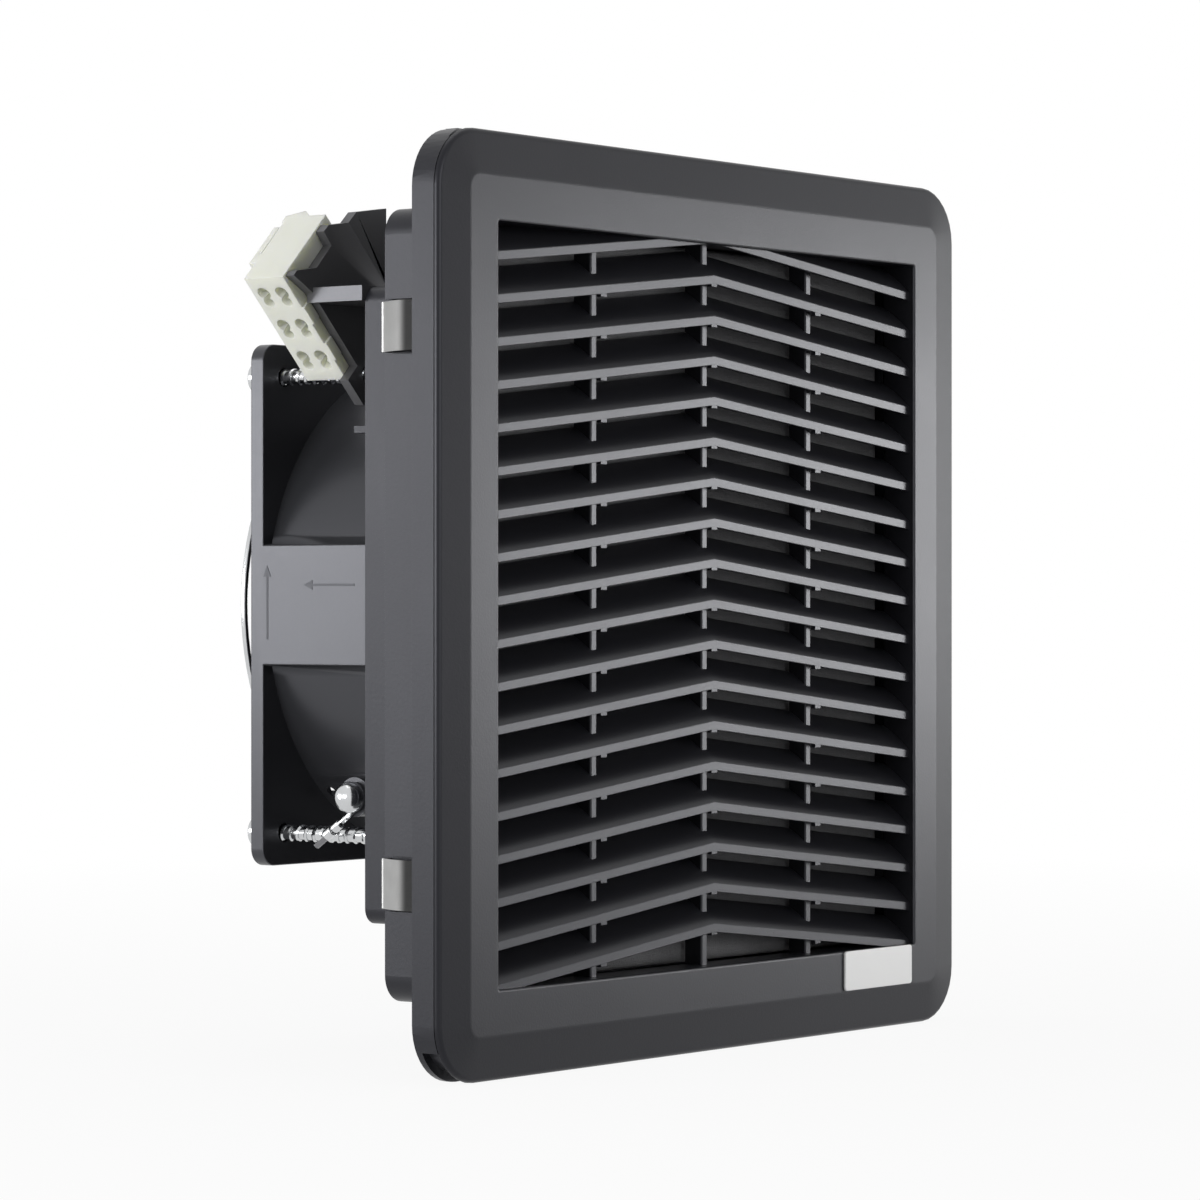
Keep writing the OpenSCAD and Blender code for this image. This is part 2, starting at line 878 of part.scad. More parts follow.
module terminal_block() {
    entry_d = 3.4;
    release_d = 2.8;
    lobe = 2.6;
    depth = 9;
    latch_t = 1.6;
    latch_gap = 1;
    latch_len = 11;
    color("#e9ebe4")
        block_frame()
            difference() {
                union() {
                    cube([block_len, block_t, block_h]);
                    translate([0.6, block_t - small, 6]) {
                        cube([latch_len, latch_gap + latch_t, 3]);
                        translate([0, latch_gap, 0])
                            cube([latch_len, latch_t, block_h - 8.8]);
                    }
                    along_x(0, 1.8)
                        polygon([
                            [block_t * 0.35, block_h - 1], [block_t * 0.6, block_h + 1.8],
                            [block_t + 0.6, block_h + 0.3], [block_t + 0.6, block_h - 1.6]]);
                    for (x = [block_len * 0.3, block_len * 0.65])
                        translate([x, -0.6, 0])
                            cube([5, 1, 2.6]);
                }
                for (i = [0 : pole_count - 1], y = [block_t * 0.27, block_t * 0.73])
                    translate([pole_at(i), y, -1]) {
                        translate([-lobe / 2, 0, 0])
                            cylinder(d = entry_d, h = depth + 1);
                        translate([lobe / 2, 0, 0])
                            cylinder(d = release_d, h = depth + 1);
                    }
                for (i = [0 : pole_count - 1])
                    translate([pole_at(i) - 3, wall_t / 2, depth - small])
                        cube([6, block_t - wall_t, block_h - depth - wall_t]);
            }
}

module terminal_contacts() {
    entry_end = 9;
    color("#c9a64c")
        block_frame()
            for (i = [0 : pole_count - 1])
                translate([pole_at(i) - 3, wall_t / 2, entry_end + 1])
                    cube([6, block_t - wall_t, block_h - entry_end - wall_t - 1 - 2 * small]);
}

// The carrier's plate in front of the block, with two fingers at its outer end.
module bracket_front() {
    inner = block_len + 6.3;
    polygon([
        [4.7, block_h + 2.4], [0.5, 17.9], [0.4, 15.6], [4.4, 15.3], [4.5, 7.9], [0.4, 2.4],
        [0.4, 0.8], [7.4, 2.9], [block_len - 1.4, 2.9], [block_len - 1.4, -1.8], [inner, -1.8],
        [inner + 5, 3.2], [block_len - 1, block_h + 2.4]]);
}

module terminal_bracket() {
    side = plenum_w / 2;
    y0 = block_y - bracket_t;
    color("#1d1d1f")
        difference() {
            union() {
                block_frame()
                    rotate([90, 0, 0])
                        linear_extrude(bracket_t)
                            bracket_front();
                slab(y0, block_y)
                    polygon([
                        [-side + 11.5, side + 3], [-side + 11.5, side + 15.6],
                        [-side + 14.3, side + 18.2], [-side + 25, side + 19.7], [-side + 25, side - 5]]);
                translate([-side - 1, y_plenum, side - 3.2])
                    cube([shelf_w, block_y - y_plenum - 0.7, shelf_h]);
            }
            corners(fan_holes)
                rod(screw_d + 2 * screw_gap, y0 - 1, block_y + 1);
        }
}

// The earth terminal stands on the duct's side, in the lower corner.
module earth_frame() {
    translate([-earth_x, y_fan + earth_y, -earth_z])
        children();
}

// A ring, a narrow strap, a crimped band and a forked blade.
module earth_lug() {
    ring_d = 7;
    droop = 35;
    strap_w = 1.8;
    band_w = 2.8;
    band_t = 2.2;
    fork_w = 1.2;
    mid = earth_len * 0.5;
    color("#cfd1d4")
        earth_frame()
            difference() {
                union() {
                    rotate([0, -90, 0])
                        cylinder(d = ring_d, h = earth_t);
                    rotate([-droop, 0, 0]) {
                        translate([-earth_t, 0, -strap_w / 2])
                            cube([earth_t, earth_len - 1, strap_w]);
                        translate([-band_t, mid - 1, -band_w / 2])
                            cube([band_t, 3.5, band_w]);
                        translate([-earth_t, mid + 2, -earth_w / 2])
                            cube([earth_t, mid - 2, earth_w]);
                    }
                }
                rotate([-droop, 0, 0])
                    translate([-earth_t - 1, earth_len - 3, -fork_w / 2])
                        cube([earth_t + 2, 4, fork_w]);
                translate([1, 0, 0])
                    rotate([0, -90, 0])
                        cylinder(d = screw_d + 2 * screw_gap, h = earth_t + 2);
            }
}

module earth_washer() {
    color("#b9bbbe")
        earth_frame()
            translate([-earth_t, 0, 0])
                rotate([0, -90, 0])
                    difference() {
                        cylinder(d = screw_d + 3, h = washer_t);
                        translate([0, 0, -1])
                            cylinder(d = screw_d + 2 * screw_gap, h = washer_t + 2);
                    }
}

module earth_screw() {
    dome_d = 0.9 * screw_head_d;
    color("#d3d5d8")
        earth_frame()
            translate([-earth_t - washer_t, 0, 0])
                rotate([0, -90, 0]) {
                    difference() {
                        sphere(d = dome_d);
                        translate([-dome_d, -dome_d, -2 * dome_d])
                            cube(2 * dome_d);
                    }
                    translate([0, 0, -earth_shank])
                        cylinder(d = screw_d, h = earth_shank + small);
                }
}

louvre_cover();
name_plate();
base_frame();
fan_plenum();
panel_gasket();
filter_mat();
spring_clip(-1, 1);  // clip_left_upper
spring_clip(-1, -1);  // clip_left_lower
spring_clip(1, 1);  // clip_right_upper
spring_clip(1, -1);  // clip_right_lower
fan_frame();
bearing_tube();
ball_bearings();
stator_core();
stator_coils();
impeller();
rotor_cup();
rotor_cage();
shaft();
retaining_ring();
finger_guard();
fan_screws();
terminal_bracket();
terminal_block();
terminal_contacts();
earth_lug();
earth_washer();
earth_screw();
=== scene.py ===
"""Cabinet filter fan: its visible pieces and finishes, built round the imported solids."""
import functools
import json
import math

import bmesh
import bpy
from bpy.props import FloatProperty, FloatVectorProperty, IntProperty, PointerProperty
from mathutils import Matrix, Vector


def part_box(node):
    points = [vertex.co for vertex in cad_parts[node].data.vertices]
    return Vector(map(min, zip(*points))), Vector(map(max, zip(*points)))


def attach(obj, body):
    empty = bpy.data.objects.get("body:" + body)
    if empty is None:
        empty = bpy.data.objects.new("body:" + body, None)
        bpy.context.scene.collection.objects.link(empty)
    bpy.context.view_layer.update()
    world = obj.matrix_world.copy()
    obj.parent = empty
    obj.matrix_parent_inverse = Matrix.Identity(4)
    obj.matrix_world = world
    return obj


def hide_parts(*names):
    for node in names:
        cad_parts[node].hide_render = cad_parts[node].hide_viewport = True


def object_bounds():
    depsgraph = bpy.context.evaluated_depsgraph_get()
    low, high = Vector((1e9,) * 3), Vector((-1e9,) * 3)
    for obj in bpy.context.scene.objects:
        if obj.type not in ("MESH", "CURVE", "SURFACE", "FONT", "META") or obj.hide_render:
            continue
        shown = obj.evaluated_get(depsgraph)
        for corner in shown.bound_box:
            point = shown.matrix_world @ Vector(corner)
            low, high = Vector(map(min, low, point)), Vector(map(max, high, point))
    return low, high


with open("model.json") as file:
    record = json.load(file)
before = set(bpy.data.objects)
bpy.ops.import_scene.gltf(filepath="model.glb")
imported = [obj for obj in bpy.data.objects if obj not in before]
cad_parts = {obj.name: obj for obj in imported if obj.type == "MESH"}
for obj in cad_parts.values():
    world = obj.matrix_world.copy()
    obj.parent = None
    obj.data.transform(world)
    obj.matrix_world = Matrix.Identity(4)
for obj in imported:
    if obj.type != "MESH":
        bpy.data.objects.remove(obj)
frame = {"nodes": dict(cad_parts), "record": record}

bl_info = {
    "name": "Cabinet filter fan",
    "version": (1, 0, 0),
    "blender": (4, 5, 0),
    "location": "View3D > Sidebar > Filter Fan",
    "description": "Dresses the packed filter fan with its visible pieces and finishes",
    "category": "Add Mesh",
}

CAD_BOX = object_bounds()
MM = 0.001
BODIES = {
    node: body
    for body, nodes in frame["record"]["behaviour"]["bodies"].items()
    for node in nodes
}


def size(label, about, millimetres):
    """A length that a user may change, with its default given in millimetres."""
    return FloatProperty(
        name=label, description=about, default=millimetres * MM, unit="LENGTH", precision=5
    )


def tint(label, about, colour):
    """A colour that a user may change."""
    return FloatVectorProperty(
        name=label, description=about, default=colour, size=3, min=0, max=1, subtype="COLOR"
    )


class CoverSizes(bpy.types.PropertyGroup):
    """Sizes of the louvred cover."""

    width: size("Width", "Outside width and height of the cover", 204)
    corner: size("Corner", "Radius of the cover's corners", 13)
    bevel_width: size("Bevel", "Width of the sloping border", 9.7)
    bevel_height: size("Bevel height", "How far the border slopes back", 1)
    edge_height: size("Edge", "Depth of the upright edge", 1.4)
    edge_round: size("Edge rounding", "Radius of the edge's front corner", 1.2)
    front: size("Front", "Depth of the band's face", -8.3)
    aperture: size("Aperture", "Width and height of the louvred opening", 165)
    skirt: size("Skirt", "Outside width of the wall behind the opening", 168)
    slat_count: IntProperty(name="Slats", description="Number of slats", default=18, min=1)
    slat_pitch: size("Slat pitch", "Height from slat to slat", 9.28)
    slat_apex: size("Top slat", "Height of the highest slat's point", 84.85)
    slat_rise: size("Slat rise", "How far a slat climbs from side to point", 8.85)
    slat_front: size("Slat front", "Depth of the slats' lips", -6.8)
    slat_depth: size("Slat depth", "Slats from front to rear", 7.5)
    slat_thickness: size("Slat thickness", "Thickness of a slat's sloping web", 1.2)
    slat_slope: FloatProperty(
        name="Slope", description="Rise of a slat's web to the rear",
        default=math.radians(38), subtype="ANGLE",
    )
    lip_height: size("Lip height", "Height of a slat's front lip", 2)
    lip_depth: size("Lip depth", "Thickness of a slat's front lip", 1.2)
    rib_spacing: size("Rib spacing", "Distance from rib to rib", 42.6)
    rib_width: size("Rib width", "Width of a rib behind the slats", 2.2)
    rib_front: size("Rib front", "Depth of the ribs' front edges", -4)
    tab_height: size("Tab", "How far a rib's tab shows under a lip", 0.7)
    hinge_reach: size("Hinge reach", "From the cover's rear edge to the hinge axis", 2.8)
    hinge_drop: size("Hinge drop", "From the cover's top to the hinge axis", 2.4)
    ear_spacing: size("Ear spacing", "Distance between the hinge ears", 140)
    ear_width: size("Ear width", "Width of a hinge ear", 5)
    trunnion: size("Trunnion", "Diameter of the hinge trunnions", 2)
    trunnion_length: size("Trunnion length", "How far a trunnion stands out", 3)
    catch_spacing: size("Catch spacing", "Distance between the catches", 80)
    catch_width: size("Catch width", "Width of a catch", 12)
    catch_height: size("Catch height", "Height of the catches under the centre", 89)


class FanSizes(bpy.types.PropertyGroup):
    """Sizes of the fan's fixings and guard."""

    hole_spacing: size("Hole spacing", "Distance between the fan's screws", 105)
    screw: size("Screw", "Outside diameter of the thread", 4)
    screw_pitch: size("Thread pitch", "Height of one turn of the thread", 2.4)
    screw_front: size("Screw tip", "Depth of the screws' tips", 36.4)
    head: size("Head", "Diameter of the screw heads", 8)
    head_height: size("Head height", "Height of the screw heads", 3.1)
    head_seat: size("Head seat", "Depth of the faces that the heads sit on", 83.0)
    wire: size("Wire", "Diameter of the guard's wire", 1.6)
    guard_reach: size("Guard reach", "Radius of the guard's outer ring", 56)
    guard_rear: size("Guard rear", "Depth of the rings' centre line", 86.81)
    duct: size("Duct", "Outside diameter of the duct between its flanges", 117.2)
    flat: size("Flat", "Height of the flats on the fan's sides", 27.5)
    flange: size("Flange", "Thickness of the fan's flanges", 3.8)
    spin_mark: size("Spin arrow", "Length of the arrow for the sense of rotation", 17)
    flow_mark: size("Flow arrow", "Length of the arrow for the air flow", 15)
    guard_rings: IntProperty(name="Rings", description="Rings of the guard", default=5, min=1)


class FinishColours(bpy.types.PropertyGroup):
    """Colours of the finishes."""

    cover: tint("Cover", "Moulded cover and frame", (0.0125, 0.0126, 0.0152))
    casting: tint("Fan", "Painted fan frame", (0.0255, 0.026, 0.029))
    bracket: tint("Bracket", "Terminal bracket", (0.075, 0.075, 0.078))
    block: tint("Block", "Terminal block", (0.76, 0.77, 0.7))
    plate: tint("Plate", "Bare name plate", (0.84, 0.84, 0.835))
    zinc: tint("Zinc", "Screws and guard", (0.6, 0.61, 0.62))
    # Painted shade: the earth lug's tin has a dark colour that stands in for the shade on its
    # faces.
    tin: tint("Tin", "Earth lug", (0.2, 0.2, 0.21))
    spring: tint("Spring steel", "Panel clips", (0.35, 0.35, 0.347))
    fleece: tint("Fleece", "Filter mat", (0.13, 0.13, 0.135))
    copper: tint("Copper", "Stator windings", (0.6, 0.27, 0.12))


class Term:
    """A socket of a node tree. Arithmetic on it adds Math nodes to that tree."""

    def __init__(self, socket):
        self.socket = socket

    def math(self, operation, *values):
        sockets = dict(enumerate(values))
        return Term(add_node(self.socket.id_data, "ShaderNodeMath",
                             {"operation": operation}, sockets).outputs[0])

    def __add__(self, other):
        return self.math("ADD", self, other)

    __radd__ = __add__

    def __sub__(self, other):
        return self.math("SUBTRACT", self, other)

    def __rsub__(self, other):
        return self.math("SUBTRACT", other, self)

    def __mul__(self, other):
        return self.math("MULTIPLY", self, other)

    __rmul__ = __mul__

def add_node(tree, kind, settings=None, sockets=None):
    """One node of a tree: its settings first, then the values or links of its sockets."""
    node = tree.nodes.new(kind)
    for key, value in (settings or {}).items():
        setattr(node, key, value)
    for key, value in (sockets or {}).items():
        if isinstance(value, Term):
            value = value.socket
        if isinstance(value, bpy.types.NodeSocket):
            tree.links.new(value, node.inputs[key])
        else:
            node.inputs[key].default_value = value
    return node


def blank_tree(owner):
    """The emptied node tree of a material or a world."""
    owner.use_nodes = True
    owner.node_tree.nodes.clear()
    return owner.node_tree


class Finish:
    """A node material with one Principled shader on Object coordinates."""

    def __init__(self, name, **constants):
        self.material = bpy.data.materials.new(name)
        self.tree = blank_tree(self.material)
        self.shader = self.node("ShaderNodeBsdfPrincipled", {}, constants)
        self.node("ShaderNodeOutputMaterial", {}, {"Surface": self.shader.outputs[0]})
        self.place = self.node("ShaderNodeTexCoord").outputs["Object"]

    def node(self, kind, settings=None, sockets=None):
        return add_node(self.tree, kind, settings, sockets)

    def noise(self, grain, detail=2.0, stretch=(1, 1, 1), rough=0.5):
        """Noise whose grains are about this many millimetres across."""
        turned = self.node("ShaderNodeMapping", {"vector_type": "POINT"}, {
            "Vector": self.place, "Scale": [1 / (grain * MM * s) for s in stretch]})
        cloud = self.node("ShaderNodeTexNoise", {}, {
            "Vector": turned.outputs[0], "Scale": 1.0, "Detail": detail, "Roughness": rough})
        return Term(cloud.outputs["Fac"])

    def mix(self, amount, low, high):
        """A colour between two colours."""
        blend = self.node("ShaderNodeMix", {"data_type": "RGBA"}, {0: amount})
        for index, colour in ((6, low), (7, high)):
            if isinstance(colour, bpy.types.NodeSocket):
                self.tree.links.new(colour, blend.inputs[index])
            else:
                blend.inputs[index].default_value = (*colour, 1)
        return blend.outputs[2]

    def axis(self, letter):
        """One Object coordinate, in millimetres."""
        parts = self.node("ShaderNodeSeparateXYZ", {}, {0: self.place})
        return Term(parts.outputs[letter]) * 1000

    def set(self, **links):
        for name, value in links.items():
            socket = self.shader.inputs[name.replace("_", " ")]
            self.tree.links.new(value.socket if isinstance(value, Term) else value, socket)

    def bump(self, height, depth):
        """Relief of this many millimetres."""
        relief = self.node("ShaderNodeBump", {}, {
            "Height": height, "Distance": depth * MM, "Strength": 1.0})
        self.set(Normal=relief.outputs[0])


def shades(colour, low, high):
    """A darker and a lighter shade of a colour."""
    return [min(c * low, 1) for c in colour], [min(c * high, 1) for c in colour]


def finish(maker):
    """Makes each material once, under its function's name."""
    @functools.cache
    def once():
        return maker(maker.__name__, bpy.context.scene.filter_fan_colours)
    return once


COOL_SHEEN = (0.9, 0.915, 1.0, 1)


def moulded(name, colour, roughness, grain, relief, level=0.5):
    """Moulded plastic with a fine eroded texture and faint flow marks."""
    look = Finish(name, **{"Specular IOR Level": level, "Specular Tint": COOL_SHEEN})
    fine = look.noise(grain, 3)
    flow = look.noise(38, 2)
    dark, light = shades(colour, 0.86, 1.16)
    look.set(Base_Color=look.mix(fine * 0.55 + flow * 0.45, dark, light),
             Roughness=(fine - 0.5) * 0.06 + (flow - 0.5) * 0.06 + roughness)
    look.bump(fine, relief)
    return look.material


def metal(name, colour, roughness, grain, stretch, spread):
    """Bare or plated metal with drawn or tumbled marks."""
    look = Finish(name, Metallic=1.0)
    marks = look.noise(grain, 3, stretch, 0.6)
    cloud = look.noise(6, 2)
    dark, light = shades(colour, 0.82, 1.1)
    look.set(Base_Color=look.mix(cloud, dark, light),
             Roughness=(marks - 0.5) * spread + (cloud - 0.5) * 0.08 + roughness)
    look.bump(marks, 0.012)
    return look.material


def plain(kind, name, colour, *look):
    """A plain plastic or metal, in one of the user's colours or in a colour of its own."""
    def maker(label, colours):
        named = isinstance(colour, str)
        return kind(label, getattr(colours, colour) if named else colour, *look)
    maker.__name__ = name
    return finish(maker)


cover_plastic = plain(moulded, "cover_plastic", "cover", 0.3, 0.55, 0.018, 0.22)
slat_plastic = plain(moulded, "slat_plastic", "cover", 0.3, 0.55, 0.008, 0.31)
frame_plastic = plain(moulded, "frame_plastic", "cover", 0.36, 0.7, 0.02, 0.3)
fan_paint = plain(moulded, "fan_paint", "casting", 0.3, 0.9, 0.006)
impeller_plastic = plain(moulded, "impeller_plastic", "cover", 0.4, 1.2, 0.015)
bracket_plastic = plain(moulded, "bracket_plastic", "bracket", 0.3, 0.8, 0.002)
bright_zinc = plain(metal, "bright_zinc", "zinc", 0.15, 1.0, (1, 1, 1), 0.12)
# Painted shade: a dark tin, darkened to stand in for the shade on the lug's faces.
lug_tin = plain(metal, "lug_tin", "tin", 0.2, 0.8, (1, 1, 1), 0.15)
motor_steel = plain(metal, "motor_steel", (0.4, 0.41, 0.42), 0.35, 0.3, (8, 1, 8), 0.2)
cage_aluminium = plain(metal, "cage_aluminium", (0.6, 0.61, 0.62), 0.45, 0.8, (1, 1, 1), 0.2)
turned_brass = plain(metal, "turned_brass", (0.62, 0.5, 0.25), 0.3, 0.25, (10, 1, 10), 0.2)
contact_brass = plain(metal, "contact_brass", (0.66, 0.56, 0.3), 0.28, 0.6, (1, 1, 1), 0.15)


@finish
def block_plastic(name, colours):
    look = Finish(name, **{
        "Subsurface Weight": 0.6, "Subsurface Radius": (1.0, 1.0, 0.75), "Subsurface Scale": 0.003})
    cloud = look.noise(9, 3)
    dark, light = shades(colours.block, 0.95, 1.04)
    look.set(Base_Color=look.mix(cloud, dark, light), Roughness=(cloud - 0.5) * 0.1 + 0.42)
    look.bump(look.noise(1.5, 2), 0.008)
    return look.material


@finish
def plate_gloss(name, colours):
    look = Finish(name)
    cloud = look.noise(14, 2)
    dark, light = shades(colours.plate, 0.985, 1.01)
    look.set(Base_Color=look.mix(cloud, dark, light), Roughness=(cloud - 0.5) * 0.06 + 0.3)
    return look.material


@finish
def gasket_foam(name, colours):
    look = Finish(name)
    cells = look.node("ShaderNodeTexVoronoi", {}, {"Vector": look.place, "Scale": 1800.0})
    dark, light = (0.008, 0.008, 0.008), (0.03, 0.03, 0.031)
    pores = Term(cells.outputs["Distance"])
    look.set(Base_Color=look.mix(pores, dark, light), Roughness=pores * 0.2 + 0.75)
    look.bump(pores, 0.12)
    return look.material


@finish
def filter_fleece(name, colours):
    look = Finish(name)
    across = look.noise(0.35, 4, (7, 1, 1), 0.7)
    along = look.noise(0.35, 4, (1, 1, 7), 0.7)
    tufts = look.noise(5, 3)
    fibres = across.math("MAXIMUM", across, along)
    dark, light = shades(colours.fleece, 0.55, 1.6)
    look.set(Base_Color=look.mix(fibres * 0.7 + tufts * 0.3, dark, light),
             Roughness=fibres * 0.15 + 0.82)
    look.bump(fibres + tufts, 0.35)
    return look.material


@finish
def spring_steel(name, colours):
    look = Finish(name, **{"Specular IOR Level": 0.2})
    low, high = (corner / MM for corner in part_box("clip_left_upper"))
    marks = look.noise(0.25, 3, (1, 30, 1), 0.6)
    cloud = look.noise(6, 2)
    # Painted shade: the leaf's colour runs from near black at its front tip, where the frame's
    # window shades it, to plain steel at its rear root; the shaded end is also less metallic and
    # rougher.
    shade_to, lit_from = (low.y + share * (high.y - low.y) for share in (0.44, 0.66))
    bare = look.node("ShaderNodeMapRange", {"interpolation_type": "SMOOTHSTEP"}, {
        "Value": look.axis("Y"), "From Min": shade_to, "From Max": lit_from,
        "To Min": 0.0, "To Max": 1.0})
    dark, light = shades(colours.spring, 0.82, 1.1)
    painted_shade = [c * 0.06 for c in dark]
    steel = look.mix(cloud, dark, light)
    bright = Term(bare.outputs[0])
    # bare is the lit share of this ramp; the dark colour that it mixes from is painted shade.
    look.set(Base_Color=look.mix(bright, painted_shade, steel), Metallic=bright,
             Roughness=(marks - 0.5) * 0.2 + (cloud - 0.5) * 0.08 + 0.62 - bright * 0.28)
    look.bump(marks, 0.012)
    return look.material


@finish
def core_laminations(name, colours):
    look = Finish(name, Metallic=0.9)
    sheet = 0.5
    sheets = look.axis("Y") * (2 * math.pi / sheet)
    layers = sheets.math("SINE", sheets)
    stain = look.noise(4, 3)
    look.set(Base_Color=look.mix(stain, (0.13, 0.13, 0.14), (0.34, 0.33, 0.32)),
             Roughness=stain * 0.2 + 0.4)
    look.bump(layers, 0.06)
    return look.material


@finish
def winding_copper(name, colours):
    look = Finish(name, Metallic=0.85, **{"Coat Weight": 0.4})
    strand = 0.45
    turns = look.axis("Y") * (2 * math.pi / strand)
    strands = turns.math("SINE", turns)
    stain = look.noise(3, 2)
    dark, light = shades(colours.copper, 0.6, 1.15)
    look.set(Base_Color=look.mix(stain, dark, light), Roughness=stain * 0.15 + 0.28)
    look.bump(strands, 0.12)
    return look.material


def link(name, mesh):
    """An object at the origin with its place in its mesh."""
    made = bpy.data.objects.new(name, mesh)
    bpy.context.scene.collection.objects.link(made)
    return made


def shape(name, points, faces, join=0.0):
    """A piece from points in millimetres, its faces turned outwards."""
    mesh = bpy.data.meshes.new(name)
    mesh.from_pydata([Vector(p) * MM for p in points], [], faces)
    tidy_mesh(mesh, join)
    return link(name, mesh)


def tidy_mesh(mesh, join=0.0, flat=0.0):
    """Merges doubles, joins flat faces and turns every face outwards."""
    work = bmesh.new()
    work.from_mesh(mesh)
    if join:
        bmesh.ops.remove_doubles(work, verts=work.verts, dist=join * MM)
    if flat:
        bmesh.ops.dissolve_limit(
            work, angle_limit=math.radians(flat), use_dissolve_boundaries=False,
            verts=work.verts, edges=work.edges, delimit=set())
    bmesh.ops.recalc_face_normals(work, faces=work.faces)
    work.to_mesh(mesh)
    work.free()


def loft(name, rings, closed=False, join=0.0):
    """Skins equal rings of points; the last ring meets the first where the loft is closed."""
    count = len(rings[0])
    points = [p for ring in rings for p in ring]
    spans = len(rings) if closed else len(rings) - 1
    faces = []
    for r in range(spans):
        low, high = r * count, (r + 1) % len(rings) * count
        for i in range(count):
            j = (i + 1) % count
            faces.append((low + i, low + j, high + j, high + i))
    if not closed:
        faces.append(tuple(range(count)))
        faces.append(tuple(range((len(rings) - 1) * count, len(rings) * count)))
    return shape(name, points, faces, join)


def prism(name, outline, axis, spans):
    """An outline drawn out along an axis, once for each span of it."""
    count = len(outline)
    points, faces = [], []
    for low, high in spans:
        start = len(points)
        for end in (low, high):
            points += [p[:axis] + (end,) + p[axis:] for p in outline]
        faces += [tuple(range(start, start + count)),
                  tuple(range(start + count, start + 2 * count))]
        for i in range(count):
            j = (i + 1) % count
            faces.append((start + i, start + j, start + count + j, start + count + i))
    return shape(name, points, faces)


def wires(name, lines):
    """A mesh of bare edges from open or closed lines of points in millimetres."""
    points, edges = [], []
    for line, closed in lines:
        start, count = len(points), len(line)
        points += [Vector(p) * MM for p in line]
        edges += [(start + i, start + (i + 1) % count)
                  for i in range(count if closed else count - 1)]
    mesh = bpy.data.meshes.new(name)
    mesh.from_pydata(points, edges, [])
    return link(name, mesh)


def circle(radius, y, steps, centre=(0, 0)):
    """Points of a circle about Y at this depth."""
    return [(centre[0] + radius * math.cos(2 * math.pi * i / steps), y,
             centre[1] + radius * math.sin(2 * math.pi * i / steps)) for i in range(steps)]


def disc(centre, radius, step):
    """A flat outline of a circle, with a point every so many degrees."""
    return [(centre[0] + radius * math.cos(math.radians(a)),
             centre[1] + radius * math.sin(math.radians(a))) for a in range(0, 360, step)]


def rounded_ring(half, radius, y, steps=8):
    """A rounded square about the origin, in the plane at this depth."""
    points = []
    for quarter in range(4):
        middle = math.radians(90 * quarter + 45)
        cx, cz = math.copysign(1, math.cos(middle)), math.copysign(1, math.sin(middle))
        for i in range(steps + 1):
            a = math.radians(90 * (quarter + i / steps))
            points.append((cx * (half - radius) + radius * math.cos(a), y,
                           cz * (half - radius) + radius * math.sin(a)))
    return points


def supported(outline, reach=0.12):
    """A closed outline with two more points on each long stretch, to hold flats flat."""
    rows = []
    for low, high in zip(outline, outline[1:] + outline[:1]):
        rows.append(low)
        gap = math.dist(low, high)
        if gap > 6 * reach:
            rows += [tuple(a + (b - a) * share for a, b in zip(low, high))
                     for share in (reach / gap, 1 - reach / gap)]
    return rows


def lathe(name, outline, steps=32):
    """A closed body of revolution about Y, from points of radius and depth."""
    rings = []
    for i in range(steps):
        a = 2 * math.pi * i / steps
        rings.append([(r * math.cos(a), y, r * math.sin(a)) for r, y in outline])
    return loft(name, rings, closed=True, join=0.0005)


def smooth(piece, turn=35):
    """Shades a piece smooth except across edges sharper than this angle."""
    piece.data.shade_smooth()
    piece.data.set_sharp_from_angle(angle=math.radians(turn))
    return piece


def round_edges(piece, width, steps=2, turn=30):
    """A live bevel over the sharp edges."""
    bevel = piece.modifiers.new("Rounded edges", "BEVEL")
    bevel.width = width * MM
    bevel.segments = steps
    bevel.limit_method = "ANGLE"
    bevel.angle_limit = math.radians(turn)
    bevel.harden_normals = True
    bevel.use_clamp_overlap = True
    return piece


def settle(piece):
    """Turns a piece's evaluated shape into its own plain mesh."""
    graph = bpy.context.evaluated_depsgraph_get()
    mesh = bpy.data.meshes.new_from_object(piece.evaluated_get(graph))
    piece.modifiers.clear()
    piece.data = mesh
    return piece


def dress(piece, node, material):
    """Gives a piece its finish and the place of the CAD node that it stands for."""
    if material:
        piece.data.materials.clear()
        piece.data.materials.append(material)
    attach(piece, BODIES[node])
    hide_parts(node)
    return piece


def carve(piece, operation, tool):
    """Cuts a tool's shape out of a piece or joins it on, and clears the tool away."""
    change = piece.modifiers.new("Carve", "BOOLEAN")
    change.operation, change.solver, change.object = operation, "EXACT", tool
    settle(piece)
    bpy.data.objects.remove(tool)
    return piece


def weigh_outline(mesh, turn, beyond):
    """Marks the sharp edges past a distance from the fan's axis, for a bevel by weight."""
    work = bmesh.new()
    work.from_mesh(mesh)
    weight = work.edges.layers.float.new("bevel_weight_edge")
    for edge in work.edges:
        middle = (edge.verts[0].co + edge.verts[1].co) / 2
        outer = max(abs(middle.x), abs(middle.z)) > beyond * MM
        if outer and edge.calc_face_angle(0.0) > math.radians(turn):
            edge[weight] = 1.0
    work.to_mesh(mesh)
    work.free()


DOUBLES = 0.001  # millimetres between points that are merged
FLAT = 0.4  # degrees between faces that are joined


def softened(node, material, width=0.35, steps=2, turn=30, changes=(), beyond=0.0):
    """A merged copy of a rigid CAD node, with changes carved and its hard edges rounded."""
    mesh = frame["nodes"][node].data.copy()
    mesh.name = node + "_finished"
    tidy_mesh(mesh, DOUBLES, FLAT)
    piece = link(node + "_finished", mesh)
    for operation, tool in changes:
        carve(piece, operation, tool)
    if changes:
        tidy_mesh(piece.data, DOUBLES, FLAT)
    smooth(piece, turn)
    round_edges(piece, width, steps, turn)
    if beyond:
        weigh_outline(piece.data, turn, beyond)
        piece.modifiers[-1].limit_method = "WEIGHT"
    return dress(piece, node, material)


def paint(node, material):
    """Gives a carried-over CAD node its finish."""
    for slot in frame["nodes"][node].material_slots:
        slot.material = material


